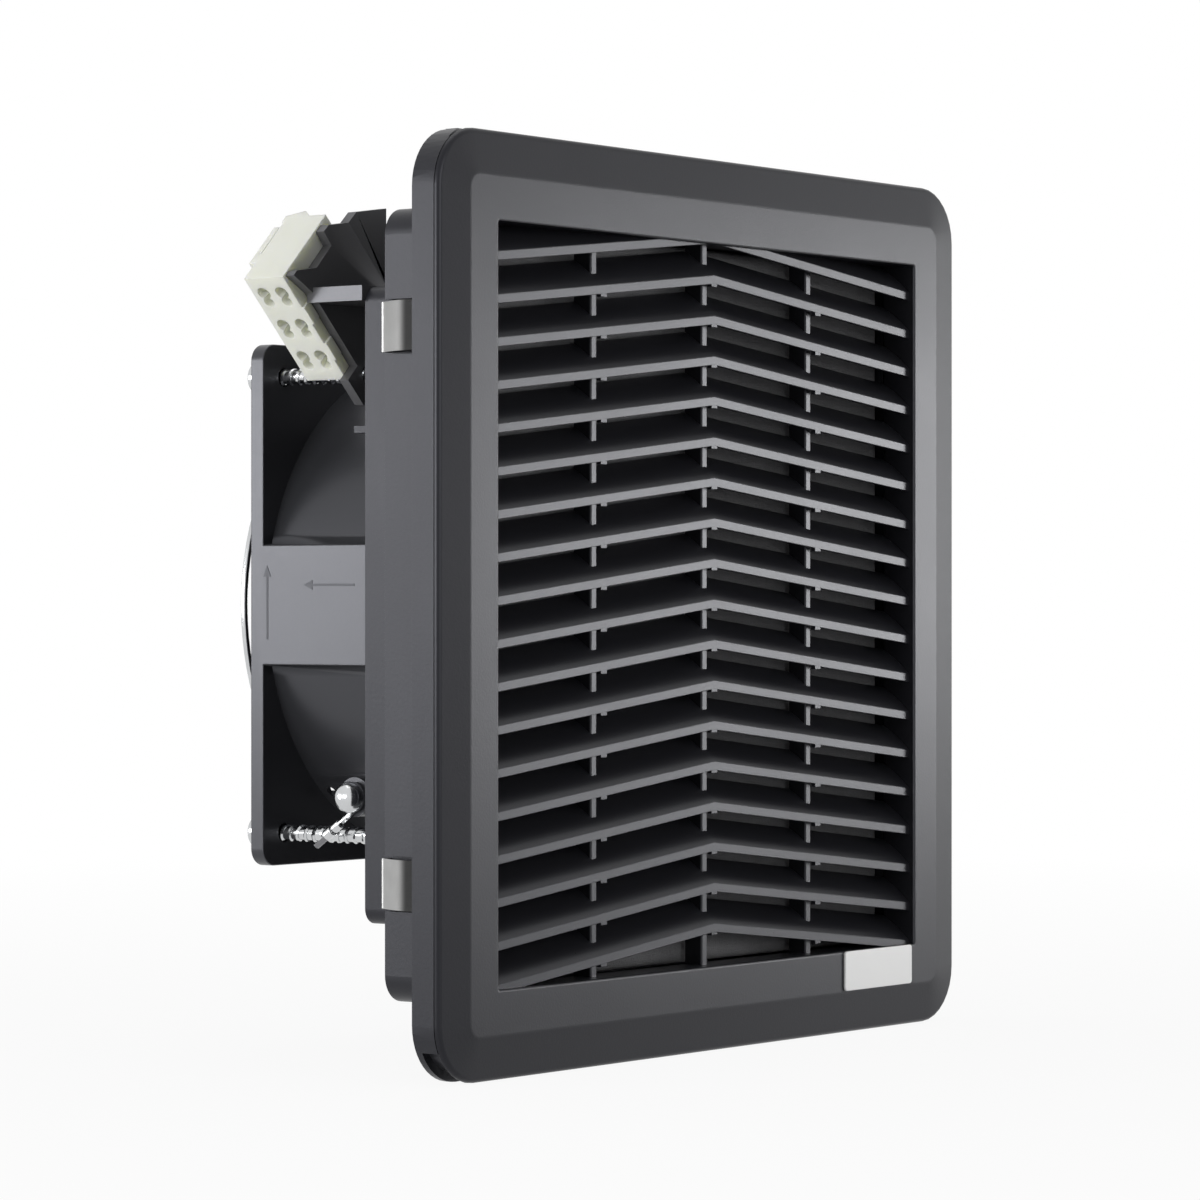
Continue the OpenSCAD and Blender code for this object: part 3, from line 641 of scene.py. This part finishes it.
class Tree:
    """A Geometry Nodes tree with named inputs, ending in plain faces with a material."""

    KINDS = {"Count": "NodeSocketInt", "Step": "NodeSocketVector", "Finish": "NodeSocketMaterial"}

    def __init__(self, name, *inputs):
        self.tree = bpy.data.node_groups.new(name, "GeometryNodeTree")
        self.tree.is_modifier = True
        sides = self.tree.interface
        sides.new_socket("Geometry", in_out="OUTPUT", socket_type="NodeSocketGeometry")
        sides.new_socket("Geometry", in_out="INPUT", socket_type="NodeSocketGeometry")
        self.names = {}
        for label in (*inputs, "Finish"):
            kind = self.KINDS.get(label.split()[-1], "NodeSocketFloat")
            self.names[label] = sides.new_socket(label, in_out="INPUT", socket_type=kind).identifier
        self.start = self.node("NodeGroupInput")

    def node(self, kind, settings=None, sockets=None):
        return add_node(self.tree, kind, settings, sockets)

    def get(self, label):
        return self.start.outputs[label]

    def repeat(self, count, step):
        """The piece in a straight row."""
        line = self.node("GeometryNodeMeshLine", {"mode": "OFFSET"}, {
            "Count": self.get(count), "Offset": self.get(step)})
        return self.node("GeometryNodeInstanceOnPoints", {}, {
            "Points": line.outputs[0], "Instance": self.get("Geometry")}).outputs[0]

    def end(self, geometry):
        plain = self.node("GeometryNodeRealizeInstances", {}, {0: geometry})
        coated = self.node("GeometryNodeSetMaterial", {}, {
            "Geometry": plain.outputs[0], "Material": self.get("Finish")})
        self.node("NodeGroupOutput", {}, {0: coated.outputs[0]})
        return self

    def run(self, piece, material, **values):
        """Runs the tree over a piece and keeps the result as its plain mesh."""
        modifier = piece.modifiers.new(self.tree.name, "NODES")
        modifier.node_group = self.tree
        modifier[self.names["Finish"]] = material
        for label, value in values.items():
            modifier[self.names[label.replace("_", " ")]] = value
        return settle(piece)


@functools.cache
def row_tree():
    """Repeats the piece in a straight row."""
    t = Tree("Row of like parts", "Part Count", "Row Step")
    return t.end(t.repeat("Part Count", "Row Step"))


@functools.cache
def wire_tree():
    """Draws round wire along the piece's edges."""
    t = Tree("Round wire", "Wire Radius")
    path = t.node("GeometryNodeMeshToCurve", {}, {0: t.get("Geometry")})
    section = t.node("GeometryNodeCurvePrimitiveCircle", {"mode": "RADIUS"}, {
        "Resolution": 12, "Radius": t.get("Wire Radius")})
    wire = t.node("GeometryNodeCurveToMesh", {}, {
        "Curve": path.outputs[0], "Profile Curve": section.outputs[0], "Fill Caps": True})
    return t.end(wire.outputs[0])


@functools.cache
def thread_tree():
    """Winds a thread's ridge over the piece."""
    t = Tree("Screw thread", "Core Radius", "Ridge Radius", "Pitch Height", "Turns Number",
             "Start Depth")
    turns = Term(t.get("Turns Number"))
    helix = t.node("GeometryNodeCurveSpiral", {}, {
        "Resolution": 20, "Rotations": turns, "Start Radius": t.get("Core Radius"),
        "End Radius": t.get("Core Radius"), "Height": turns * t.get("Pitch Height")})
    section = t.node("GeometryNodeCurvePrimitiveCircle", {"mode": "RADIUS"}, {
        "Resolution": 5, "Radius": t.get("Ridge Radius")})
    ridge = t.node("GeometryNodeCurveToMesh", {}, {
        "Curve": helix.outputs[0], "Profile Curve": section.outputs[0], "Fill Caps": True})
    start = t.node("ShaderNodeCombineXYZ", {}, {"Y": t.get("Start Depth")})
    laid = t.node("GeometryNodeTransform", {}, {
        "Geometry": ridge.outputs[0], "Translation": start.outputs[0],
        "Rotation": (-math.pi / 2, 0, 0)})
    both = t.node("GeometryNodeJoinGeometry", {}, {0: t.get("Geometry")})
    t.tree.links.new(laid.outputs[0], both.inputs[0])
    return t.end(both.outputs[0])


@functools.cache
def louvre_tree():
    """Repeats a slat downwards and trims the stack to the opening."""
    t = Tree("Louvres", "Slat Count", "Slat Step", "Opening Width")
    slats = t.repeat("Slat Count", "Slat Step")
    plain = t.node("GeometryNodeRealizeInstances", {}, {0: slats})
    across = t.get("Opening Width")
    room = t.node("ShaderNodeCombineXYZ", {}, {"X": across, "Y": 0.1, "Z": across})
    opening = t.node("GeometryNodeMeshCube", {}, {"Size": room.outputs[0]})
    trimmed = t.node("GeometryNodeMeshBoolean", {"operation": "INTERSECT", "solver": "EXACT"})
    t.tree.links.new(plain.outputs[0], trimmed.inputs["Mesh 2"])
    t.tree.links.new(opening.outputs[0], trimmed.inputs["Mesh 2"])
    return t.end(trimmed.outputs[0])


def pair(name, outline, half, spacing, material):
    """Two like prisms, side by side about the middle."""
    start = -spacing / MM / 2
    piece = prism(name, outline, 0, [(start - half, start + half)])
    return row_tree().run(piece, material, Part_Count=2, Row_Step=(spacing, 0, 0))


class FILTERFAN_OT_bezel(bpy.types.Operator):
    """Makes the cover's band, border, inner wall, hinge ears and catches"""

    bl_idname = "filterfan.bezel"
    bl_label = "Cover bezel"
    bl_options = {"REGISTER", "UNDO"}

    def execute(self, context):
        cover = context.scene.filter_fan_cover
        half, corner = cover.width / MM / 2, cover.corner / MM
        front, bevel = cover.front / MM, cover.bevel_width / MM
        edge_y = front + cover.bevel_height / MM
        split_y = edge_y + cover.edge_height / MM
        rear = (cover.slat_front + cover.slat_depth) / MM
        turn = cover.edge_round / MM
        opening, wall = cover.aperture / MM / 2, cover.skirt / MM / 2
        outline = [(opening, 0.5, front + 0.45), (opening + 0.13, 0.6, front + 0.13),
                   (opening + 0.45, 0.9, front)]
        outline += [(half - bevel - 0.25, corner - bevel - 0.25, front),
                    (half - bevel + 0.25, corner - bevel + 0.25, front + 0.03)]
        for i in range(7):
            a = math.radians(6 + 84 * i / 6)
            outline.append((half - turn * (1 - math.sin(a)), corner - turn * (1 - math.sin(a)),
                            edge_y + turn * (1 - math.cos(a))))
        outline += [(half, corner, split_y - 0.3), (half - 0.09, corner - 0.09, split_y - 0.09),
                    (half - 0.3, corner - 0.3, split_y)]
        outline += [(wall + 0.6, 1.4, split_y), (wall + 0.17, 1.0, split_y + 0.17),
                    (wall, 0.8, split_y + 0.6), (wall, 0.8, rear - 0.3),
                    (wall - 0.3, 0.6, rear), (opening + 0.3, 0.6, rear), (opening, 0.5, rear - 0.3)]
        bezel = loft("cover_bezel", [rounded_ring(*row) for row in supported(outline)], closed=True)
        smooth(bezel, 40)
        dress(bezel, "louvre_cover", cover_plastic())

        reach, drop = cover.hinge_reach / MM, cover.hinge_drop / MM
        width = cover.ear_width / MM / 2
        y, z, turn = split_y + reach, half - drop, drop - 0.2
        outline = [(split_y, z - turn), (y, z - turn)]
        outline += [(y + turn * math.sin(math.radians(a)), z - turn * math.cos(math.radians(a)))
                    for a in range(15, 180, 15)]
        outline += [(y, z + turn), (split_y, z + turn)]
        ears = pair("cover_ears", outline, width, cover.ear_spacing, cover_plastic())
        round_edges(smooth(ears), 0.25)
        dress(ears, "louvre_cover", None)
        pin, stub = cover.trunnion / MM / 2, width + cover.trunnion_length / MM
        pins = pair("cover_trunnions", disc((y, z), pin, 20), stub, cover.ear_spacing,
                    cover_plastic())
        dress(smooth(pins), "louvre_cover", None)

        low, width = -cover.catch_height / MM, cover.catch_width / MM / 2
        hook, nose = 1.5, -1.9
        outline = [(split_y, low), (split_y, low - hook), (nose - 0.6, low - hook),
                   (nose, low - 1.1), (nose, low)]
        catches = pair("cover_catches", outline, width, cover.catch_spacing, cover_plastic())
        round_edges(smooth(catches), 0.2)
        dress(catches, "louvre_cover", None)
        return {"FINISHED"}


class FILTERFAN_OT_louvres(bpy.types.Operator):
    """Makes the chevron slats and the ribs that tie them"""

    bl_idname = "filterfan.louvres"
    bl_label = "Louvres"
    bl_options = {"REGISTER", "UNDO"}

    def execute(self, context):
        cover = context.scene.filter_fan_cover
        reach = (cover.aperture / MM + cover.skirt / MM) / 4
        lip, deep = cover.lip_height / MM, cover.lip_depth / MM
        rise = math.tan(cover.slat_slope)
        web = cover.slat_thickness / MM / math.cos(cover.slat_slope)
        y0, y1 = cover.slat_front / MM, (cover.slat_front + cover.slat_depth) / MM
        top = (y1 - y0) * rise
        soft, bow = 0.12, 0.3
        slope = []
        for i in range(11):
            share = i / 10
            slope.append((y0 + share * (y1 - y0), top * share * (1 + bow * (1 - share))))
        under = [(y, z - web) for y, z in slope if y > y0 + deep + 0.4]
        outline = [(y0, -lip + soft), (y0, -soft), (y0 + 0.06, 0.05)] + slope[1:] + under[::-1]
        outline += [(y0 + deep, under[0][1] - 0.5), (y0 + deep, -lip + soft),
                    (y0 + deep - soft, -lip), (y0 + soft, -lip)]
        apex = cover.slat_apex / MM
        fall = cover.slat_rise / (cover.aperture / 2)
        rings = [[(x, y, apex - abs(x) * fall + z) for y, z in outline]
                 for x in (-reach - 1, 0, reach + 1)]
        slats = loft("cover_slats", rings)
        louvre_tree().run(slats, slat_plastic(), Slat_Count=cover.slat_count,
                          Slat_Step=(0, 0, -cover.slat_pitch), Opening_Width=reach * 2 * MM)
        smooth(slats, 12)
        dress(slats, "louvre_cover", None)

        half, front = cover.rib_width / MM / 2, cover.rib_front / MM
        outline = [(-half, y1), (-half, front + 0.3), (-half + 0.3, front), (half - 0.3, front),
                   (half, front + 0.3), (half, y1)]
        start = -cover.rib_spacing / MM
        ribs = loft("cover_ribs", [[(start + x, y, z) for x, y in outline]
                                   for z in (-reach, reach)])
        row_tree().run(ribs, slat_plastic(), Part_Count=3, Row_Step=(cover.rib_spacing, 0, 0))
        smooth(ribs, 20)
        dress(ribs, "louvre_cover", None)

        tab, behind = cover.tab_height / MM, 0.03
        points, faces = [], []
        for x in (start, 0, -start):
            foot = apex - abs(x) * fall - lip - tab - cover.slat_pitch / MM
            at = len(points)
            for y, z in ((y0 + behind, foot + tab * 2), (y0 + behind, foot + 0.1),
                         (y0 + behind + 0.1, foot), (y0 + deep, foot), (y0 + deep, foot + tab * 2)):
                points += [(x - half, y, z), (x + half, y, z)]
            faces += [tuple(range(at, at + 10, 2)), tuple(range(at + 1, at + 10, 2))]
            faces += [(at + i, at + i + 1, at + (i + 3) % 10, at + (i + 2) % 10)
                      for i in range(0, 10, 2)]
        tabs = shape("cover_tabs", points, faces)
        row_tree().run(tabs, slat_plastic(), Part_Count=cover.slat_count - 1,
                       Row_Step=(0, 0, -cover.slat_pitch))
        dress(smooth(tabs, 20), "louvre_cover", None)
        return {"FINISHED"}


class FILTERFAN_OT_plate(bpy.types.Operator):
    """Makes the bare name plate"""

    bl_idname = "filterfan.plate"
    bl_label = "Name plate"
    bl_options = {"REGISTER", "UNDO"}

    def execute(self, context):
        softened("name_plate", plate_gloss(), 0.15)
        return {"FINISHED"}


class FILTERFAN_OT_base(bpy.types.Operator):
    """Makes the panel frame with its seal"""

    bl_idname = "filterfan.base"
    bl_label = "Panel frame"
    bl_options = {"REGISTER", "UNDO"}

    def execute(self, context):
        for node in ("base_frame", "fan_plenum"):
            softened(node, frame_plastic(), 0.4)
        paint("panel_gasket", gasket_foam())
        return {"FINISHED"}


class FILTERFAN_OT_mat(bpy.types.Operator):
    """Makes the fleece filter mat"""

    bl_idname = "filterfan.mat"
    bl_label = "Filter mat"
    bl_options = {"REGISTER", "UNDO"}

    def execute(self, context):
        low, high = (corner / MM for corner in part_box("filter_mat"))
        half, middle = high.x, (low.y + high.y) / 2
        rows = []
        for share, inset, radius in ((0.0, 3.0, 3), (0.04, 1.2, 4), (0.2, 0.3, 4), (0.5, 0.1, 4),
                                     (0.8, 0.3, 4), (0.96, 1.2, 4), (1.0, 3.0, 3)):
            rows.append(rounded_ring(half - inset, radius, low.y + share * (high.y - low.y), 6))
        mat = loft("filter_mat_fleece", rows)
        smooth(mat, 60)
        dress(mat, "filter_mat", filter_fleece())
        return {"FINISHED"}


class FILTERFAN_OT_clips(bpy.types.Operator):
    """Makes the four spring clips that hold the panel"""

    bl_idname = "filterfan.clips"
    bl_label = "Spring clips"
    bl_options = {"REGISTER", "UNDO"}

    def execute(self, context):
        for node in ("clip_left_upper", "clip_left_lower", "clip_right_upper", "clip_right_lower"):
            low, high = (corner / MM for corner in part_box(node))
            side = math.copysign(1, low.x + high.x)
            inner, outer = sorted((abs(low.x), abs(high.x)))
            thick, root, tip, bow = 0.6, inner + 6.2, inner + 7.1, 8
            seat, end = high.y - thick, low.y
            crest = 2 * (outer - thick) - (root + tip) / 2
            leaf = []
            for i in range(29):
                t = i / 28
                a, b, c = (1 - t) ** 2, 2 * t * (1 - t), t * t
                leaf.append((a * root + b * crest + c * tip, a * seat + b * bow + c * end))
            outline = [(inner, seat), (inner, high.y), (root + thick, high.y)]
            outline += [(x + thick, y) for x, y in leaf] + leaf[::-1]
            clip = prism(node + "_leaf", [(side * x, y) for x, y in outline], 2, [(low.z, high.z)])
            round_edges(smooth(clip, 50), 0.1, 1, 60)
            dress(clip, node, spring_steel())
        return {"FINISHED"}


class FILTERFAN_OT_fan(bpy.types.Operator):
    """Makes the fan's frame and finishes its motor"""

    bl_idname = "filterfan.fan"
    bl_label = "Fan"
    bl_options = {"REGISTER", "UNDO"}

    def execute(self, context):
        fan = context.scene.filter_fan_fan
        low, high = (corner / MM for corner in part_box("fan_frame"))
        duct, flat, flange = fan.duct / MM / 2, fan.flat / MM / 2, fan.flange / MM
        past = high.x + 15
        start = math.asin(flat / duct)
        arc = []
        for i in range(25):
            a = start + (math.pi / 2 - 2 * start) * i / 24
            arc.append((duct * math.cos(a), duct * math.sin(a)))
        corner = [(past, flat)] + arc + [(flat, past), (past, past)]
        between = [(low.y + flange, high.y - flange)]
        pockets = prism("corner_pockets", corner, 1, between)
        for turn in (90, 180, 270):
            quarter = prism("corner", corner, 1, between)
            quarter.data.transform(Matrix.Rotation(math.radians(turn), 4, "Y"))
            carve(pockets, "UNION", quarter)
        earth = sum(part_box("earth_screw"), Vector()) / 2 / MM
        boss = disc((earth.y, earth.z), 4.6, 10)
        carve(pockets, "DIFFERENCE", prism("boss", boss, 0, [(-past - 1, 0)]))
        vent_behind, vent_radius, vent_depth = 22, 1.3, 1.35
        vent_end = vent_depth - math.sqrt(duct ** 2 - earth.z ** 2)
        vent = prism("vent", disc((earth.y + vent_behind, earth.z), vent_radius, 20), 0,
                     [(-past, vent_end)])
        softened("fan_frame", fan_paint(), 0.3, beyond=58.2,
                 changes=(("DIFFERENCE", pockets), ("DIFFERENCE", vent)))
        line, barb, head = 0.28, 1.1, 2.6
        web_y, spin_y, spin_z, flow_z = 58, 76.4, 0.6, 4.6
        for name, along in (("spin", fan.spin_mark / MM), ("flow", fan.flow_mark / MM)):
            tip, neck = along / 2, along / 2 - head
            arrow = [(-tip, -line), (neck, -line), (neck, -barb), (tip, 0),
                     (neck, barb), (neck, line), (-tip, line)]
            if name == "spin":
                arrow = [(spin_y + b, spin_z + a) for a, b in arrow]
            else:
                arrow = [(web_y + a, flow_z + b) for a, b in arrow]
            mark = prism(f"fan_{name}_arrow", arrow, 0, [(low.x - 0.08, low.x + 0.3)])
            dress(mark, "fan_frame", impeller_plastic())
        for node, material in (("bearing_tube", turned_brass), ("ball_bearings", motor_steel),
                               ("stator_core", core_laminations), ("stator_coils", winding_copper)):
            paint(node, material())
        return {"FINISHED"}


class FILTERFAN_OT_rotor(bpy.types.Operator):
    """Makes the impeller and finishes the parts that turn with it"""

    bl_idname = "filterfan.rotor"
    bl_label = "Rotor"
    bl_options = {"REGISTER", "UNDO"}

    def execute(self, context):
        softened("impeller", impeller_plastic(), 0.3)
        for node, material in (("rotor_cup", motor_steel), ("rotor_cage", cage_aluminium),
                               ("shaft", motor_steel), ("retaining_ring", motor_steel)):
            paint(node, material())
        return {"FINISHED"}


class FILTERFAN_OT_guard(bpy.types.Operator):
    """Makes the wire finger guard"""

    bl_idname = "filterfan.guard"
    bl_label = "Finger guard"
    bl_options = {"REGISTER", "UNDO"}

    def execute(self, context):
        fan = context.scene.filter_fan_fan
        wire, reach = fan.wire / MM, fan.guard_reach / MM
        rear, foot = fan.guard_rear / MM, fan.head_seat / MM - wire / 2
        high = rear - wire - 0.02
        rings = fan.guard_rings
        lines = [(circle(reach * (i + 1) / rings, rear, 96), True) for i in range(rings)]
        eye, loop = fan.hole_spacing / MM / math.sqrt(2), 3.8
        bend = [(reach / rings - 1, high), (reach + 0.6, high), (reach + 1.6, high - 0.25),
                (eye - 8, foot + 0.25), (eye - 7, foot), (eye - loop, foot)]
        for quarter in range(4):
            a = math.radians(45 + 90 * quarter)
            lines.append(([(r * math.cos(a), y, r * math.sin(a)) for r, y in bend], False))
            lines.append((circle(loop, foot, 24, (eye * math.cos(a), eye * math.sin(a))), True))
        guard = wires("guard_wires", lines)
        wire_tree().run(guard, bright_zinc(), Wire_Radius=fan.wire / 2)
        dress(smooth(guard, 50), "finger_guard", None)
        return {"FINISHED"}


class FILTERFAN_OT_screws(bpy.types.Operator):
    """Makes the four threaded fan screws"""

    bl_idname = "filterfan.screws"
    bl_label = "Fan screws"
    bl_options = {"REGISTER", "UNDO"}

    def execute(self, context):
        fan = context.scene.filter_fan_fan
        ridge = 0.45
        core, tip, seat = fan.screw / MM / 2 - ridge, fan.screw_front / MM, fan.head_seat / MM
        head, top = fan.head / MM / 2, (fan.head_seat + fan.head_height) / MM
        outline = [(0, tip), (core * 0.7, tip), (core, tip + 0.8), (core, seat), (head - 0.2, seat),
                   (head, seat + 0.2), (head, top - 1.0)]
        for i in range(1, 6):
            a = math.radians(18 * i)
            outline.append((head - 1.3 * (1 - math.cos(a)), top - 1.0 + 0.85 * math.sin(a)))
        outline.append((0, top))
        screws = lathe("fan_screws_threaded", outline, 28)
        for across, along in ((0.45, 2.0), (2.0, 0.45)):
            bar = [(-across, -along), (across, -along), (across, along), (-across, along)]
            carve(screws, "DIFFERENCE", prism("recess", bar, 1, [(top - 1.4, top + 1)]))
        length = seat - tip - 1.6
        thread_tree().run(screws, bright_zinc(), Core_Radius=core * MM, Ridge_Radius=ridge * MM,
                          Pitch_Height=fan.screw_pitch, Start_Depth=(tip + 1.2) * MM,
                          Turns_Number=length / (fan.screw_pitch / MM))
        screws.data.transform(Matrix.Translation((-fan.hole_spacing / 2, 0, -fan.hole_spacing / 2)))
        for step in ((fan.hole_spacing, 0, 0), (0, 0, fan.hole_spacing)):
            row_tree().run(screws, bright_zinc(), Part_Count=2, Row_Step=step)
        dress(smooth(screws, 40), "fan_screws", None)
        return {"FINISHED"}


class FILTERFAN_OT_terminals(bpy.types.Operator):
    """Makes the terminal block on its bracket"""

    bl_idname = "filterfan.terminals"
    bl_label = "Terminal block"
    bl_options = {"REGISTER", "UNDO"}

    def execute(self, context):
        softened("terminal_bracket", bracket_plastic(), 0.4)
        low, high = (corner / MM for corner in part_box("terminal_contacts"))
        middle = (low + high) / 2
        side, foot, top, deep = 14.4, -9.5, 2, 4.9
        core = prism("core", [(-side, foot), (side, foot), (side, top), (-side, top)], 1,
                     [(middle.y - deep, middle.y + deep)])
        core.data.transform(Matrix.Translation((middle.x * MM, 0, middle.z * MM))
                            @ Matrix.Rotation(math.radians(45), 4, "Y"))
        softened("terminal_block", block_plastic(), 0.45, 3, changes=(("UNION", core),))
        paint("terminal_contacts", contact_brass())
        return {"FINISHED"}


class FILTERFAN_OT_earth(bpy.types.Operator):
    """Makes the earth screw, washer and strap"""

    bl_idname = "filterfan.earth"
    bl_label = "Earth terminal"
    bl_options = {"REGISTER", "UNDO"}

    def execute(self, context):
        for node in ("earth_washer", "earth_screw"):
            softened(node, bright_zinc(), 0.15)
        outer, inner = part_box("earth_washer")
        face, thick = inner.x / MM, 0.5
        centre = (outer + inner) / 2 / MM
        ring = lathe("earth_lug_ring", [(2.3, 0), (3.5, 0), (3.5, 0.6), (2.3, 0.6)], 32)
        ring.data.transform(Matrix.Translation(Vector((face, centre.y, centre.z)) * MM)
                            @ Matrix.Rotation(math.radians(-90), 4, "Z"))
        dress(smooth(ring), "earth_lug", lug_tin())
        long = 7.4
        strap = prism("earth_lug_strap", [(0, -thick / 2), (long, -thick / 2), (long, thick / 2),
                                          (0, thick / 2)], 0, [(-1.0, 0.6)])
        barrels = []
        for start, radius in ((6.4, 1.1), (9.2, 1.25)):
            bore, soft = radius - 0.35, radius - 0.1
            outline = [(bore, start), (soft, start), (radius, start + 0.15),
                       (radius, start + 2.15), (soft, start + 2.3), (bore, start + 2.3)]
            barrels.append(lathe("barrel", outline, 24))
        trough = [(0.9 * math.cos(math.radians(a)), math.sin(math.radians(a)))
                  for a in range(-180, 1, 20)]
        trough += [(x * 0.72, z * 0.72) for x, z in reversed(trough)]
        barrels.append(prism("trough", trough, 1, [(11.6, 15.2)]))
        lay = (Matrix.Translation(Vector((face, centre.y, centre.z)) * MM)
               @ Matrix.Rotation(math.radians(-35), 4, "X") @ Matrix.Translation((0, 0, -0.003)))
        for name, part in zip(("strap", "band", "grip", "end"), [strap, *barrels]):
            part.name = part.data.name = "earth_lug_" + name
            part.data.transform(lay)
            round_edges(smooth(part), 0.06, 1)
            dress(part, "earth_lug", lug_tin() if name == "end" else bright_zinc())
        return {"FINISHED"}


LAMPS = (
    # name, where it stands, its width and height, its power
    ("key", (-0.25, -2.4, 0.5), 1.4, 1.4, 17),
    ("right_softbox", (1.8, -1.115, -0.07), 0.74, 0.64, 18),
    ("left_softbox", (-1.51, 1.46, 0.0), 0.62, 0.9, 20),
    ("left_fill", (-2.2, 0.3, 0.2), 1.2, 0.6, 27),
    ("top", (0.2, 0.2, 2.2), 1.6, 1.6, 8),
)


class FILTERFAN_OT_stage(bpy.types.Operator):
    """Sets the floor, the lamps, the white surround and the camera"""

    bl_idname = "filterfan.stage"
    bl_label = "Stage"

    def execute(self, context):
        scene = context.scene
        self.light_world(scene)
        self.lay_floor()
        for name, place, width, height, power in LAMPS:
            lamp = bpy.data.lights.new(name, "AREA")
            lamp.shape = "RECTANGLE"
            lamp.size, lamp.size_y, lamp.energy = width, height, power
            stand = link(name, lamp)
            stand.location = place
            stand.rotation_euler = Vector(place).to_track_quat("Z", "Y").to_euler()
            stand.visible_camera = False
        view = bpy.data.cameras.new("photo_view")
        view.lens, view.sensor_width, view.sensor_fit = 137.2, 36, "HORIZONTAL"
        camera = link("photo_view", view)
        camera.location = (-0.8578, -0.6089, 0.00115)
        camera.rotation_euler = (math.radians(90), 0, math.radians(-53.5))
        scene.camera = camera
        scene.view_settings.view_transform = "Standard"
        return {"FINISHED"}

    def seen(self, tree):
        """1 for rays that show the background itself: camera, glossy and transmission."""
        path = add_node(tree, "ShaderNodeLightPath")
        camera, glossy, through = (
            Term(path.outputs[f"Is {kind} Ray"]) for kind in ("Camera", "Glossy", "Transmission"))
        return camera.math("MAXIMUM", camera, glossy.math("MAXIMUM", glossy, through))

    def light_world(self, scene):
        world = bpy.data.worlds.new("studio")
        scene.world = world
        tree = blank_tree(world)
        fill, white = (add_node(tree, "ShaderNodeBackground", {}, {
            "Color": (1, 1, 1, 1), "Strength": strength}) for strength in (0.22, 1.0))
        mixed = add_node(tree, "ShaderNodeMixShader", {}, {
            0: self.seen(tree), 1: fill.outputs[0], 2: white.outputs[0]})
        add_node(tree, "ShaderNodeOutputWorld", {}, {0: mixed.outputs[0]})

    def lay_floor(self):
        reach, level = 6000, CAD_BOX[0][2] / MM - 0.05
        floor = shape("floor", [(-reach, -reach, level), (reach, -reach, level),
                                (reach, reach, level), (-reach, reach, level)], [(0, 1, 2, 3)])
        material = bpy.data.materials.new("pale_floor")
        tree = blank_tree(material)
        matt = add_node(tree, "ShaderNodeBsdfDiffuse", {}, {"Color": (0.86, 0.86, 0.86, 1)})
        glow = add_node(tree, "ShaderNodeEmission", {}, {"Color": (1, 1, 1, 1), "Strength": 1.0})
        place = add_node(tree, "ShaderNodeTexCoord").outputs["Object"]
        away = add_node(tree, "ShaderNodeVectorMath", {"operation": "LENGTH"}, {0: place})
        bright = add_node(tree, "ShaderNodeMapRange", {}, {
            "Value": away.outputs["Value"], "From Min": 0.15, "From Max": 0.8,
            "To Min": 0.92, "To Max": 1.0})
        mixed = add_node(tree, "ShaderNodeMixShader", {}, {
            0: self.seen(tree) * bright.outputs[0], 1: matt.outputs[0], 2: glow.outputs[0]})
        add_node(tree, "ShaderNodeOutputMaterial", {}, {0: mixed.outputs[0]})
        floor.data.materials.append(material)


OPERATORS = (
    FILTERFAN_OT_stage, FILTERFAN_OT_bezel, FILTERFAN_OT_louvres, FILTERFAN_OT_plate,
    FILTERFAN_OT_base, FILTERFAN_OT_mat, FILTERFAN_OT_clips, FILTERFAN_OT_fan,
    FILTERFAN_OT_rotor, FILTERFAN_OT_guard, FILTERFAN_OT_screws, FILTERFAN_OT_terminals,
    FILTERFAN_OT_earth,
)


class FILTERFAN_PT_panel(bpy.types.Panel):
    """Lists the sizes, the colours and the operators"""

    bl_idname = "FILTERFAN_PT_panel"
    bl_label = "Filter Fan"
    bl_space_type = "VIEW_3D"
    bl_region_type = "UI"
    bl_category = "Filter Fan"

    def draw(self, context):
        for group in ("filter_fan_cover", "filter_fan_fan", "filter_fan_colours"):
            values = getattr(context.scene, group)
            for name in values.__annotations__:
                self.layout.prop(values, name)
        for operator in OPERATORS:
            self.layout.operator(operator.bl_idname)


GROUPS = {
    "filter_fan_cover": CoverSizes,
    "filter_fan_fan": FanSizes,
    "filter_fan_colours": FinishColours,
}
CLASSES = (*GROUPS.values(), *OPERATORS, FILTERFAN_PT_panel)


def register():
    for part in CLASSES:
        bpy.utils.register_class(part)
    for name, group in GROUPS.items():
        setattr(bpy.types.Scene, name, PointerProperty(type=group))


def unregister():
    for name in GROUPS:
        delattr(bpy.types.Scene, name)
    for part in reversed(CLASSES):
        bpy.utils.unregister_class(part)


def main():
    register()
    for operator in OPERATORS:
        family, name = operator.bl_idname.split(".")
        getattr(getattr(bpy.ops, family), name)()


if __name__ == "__main__":
    main()
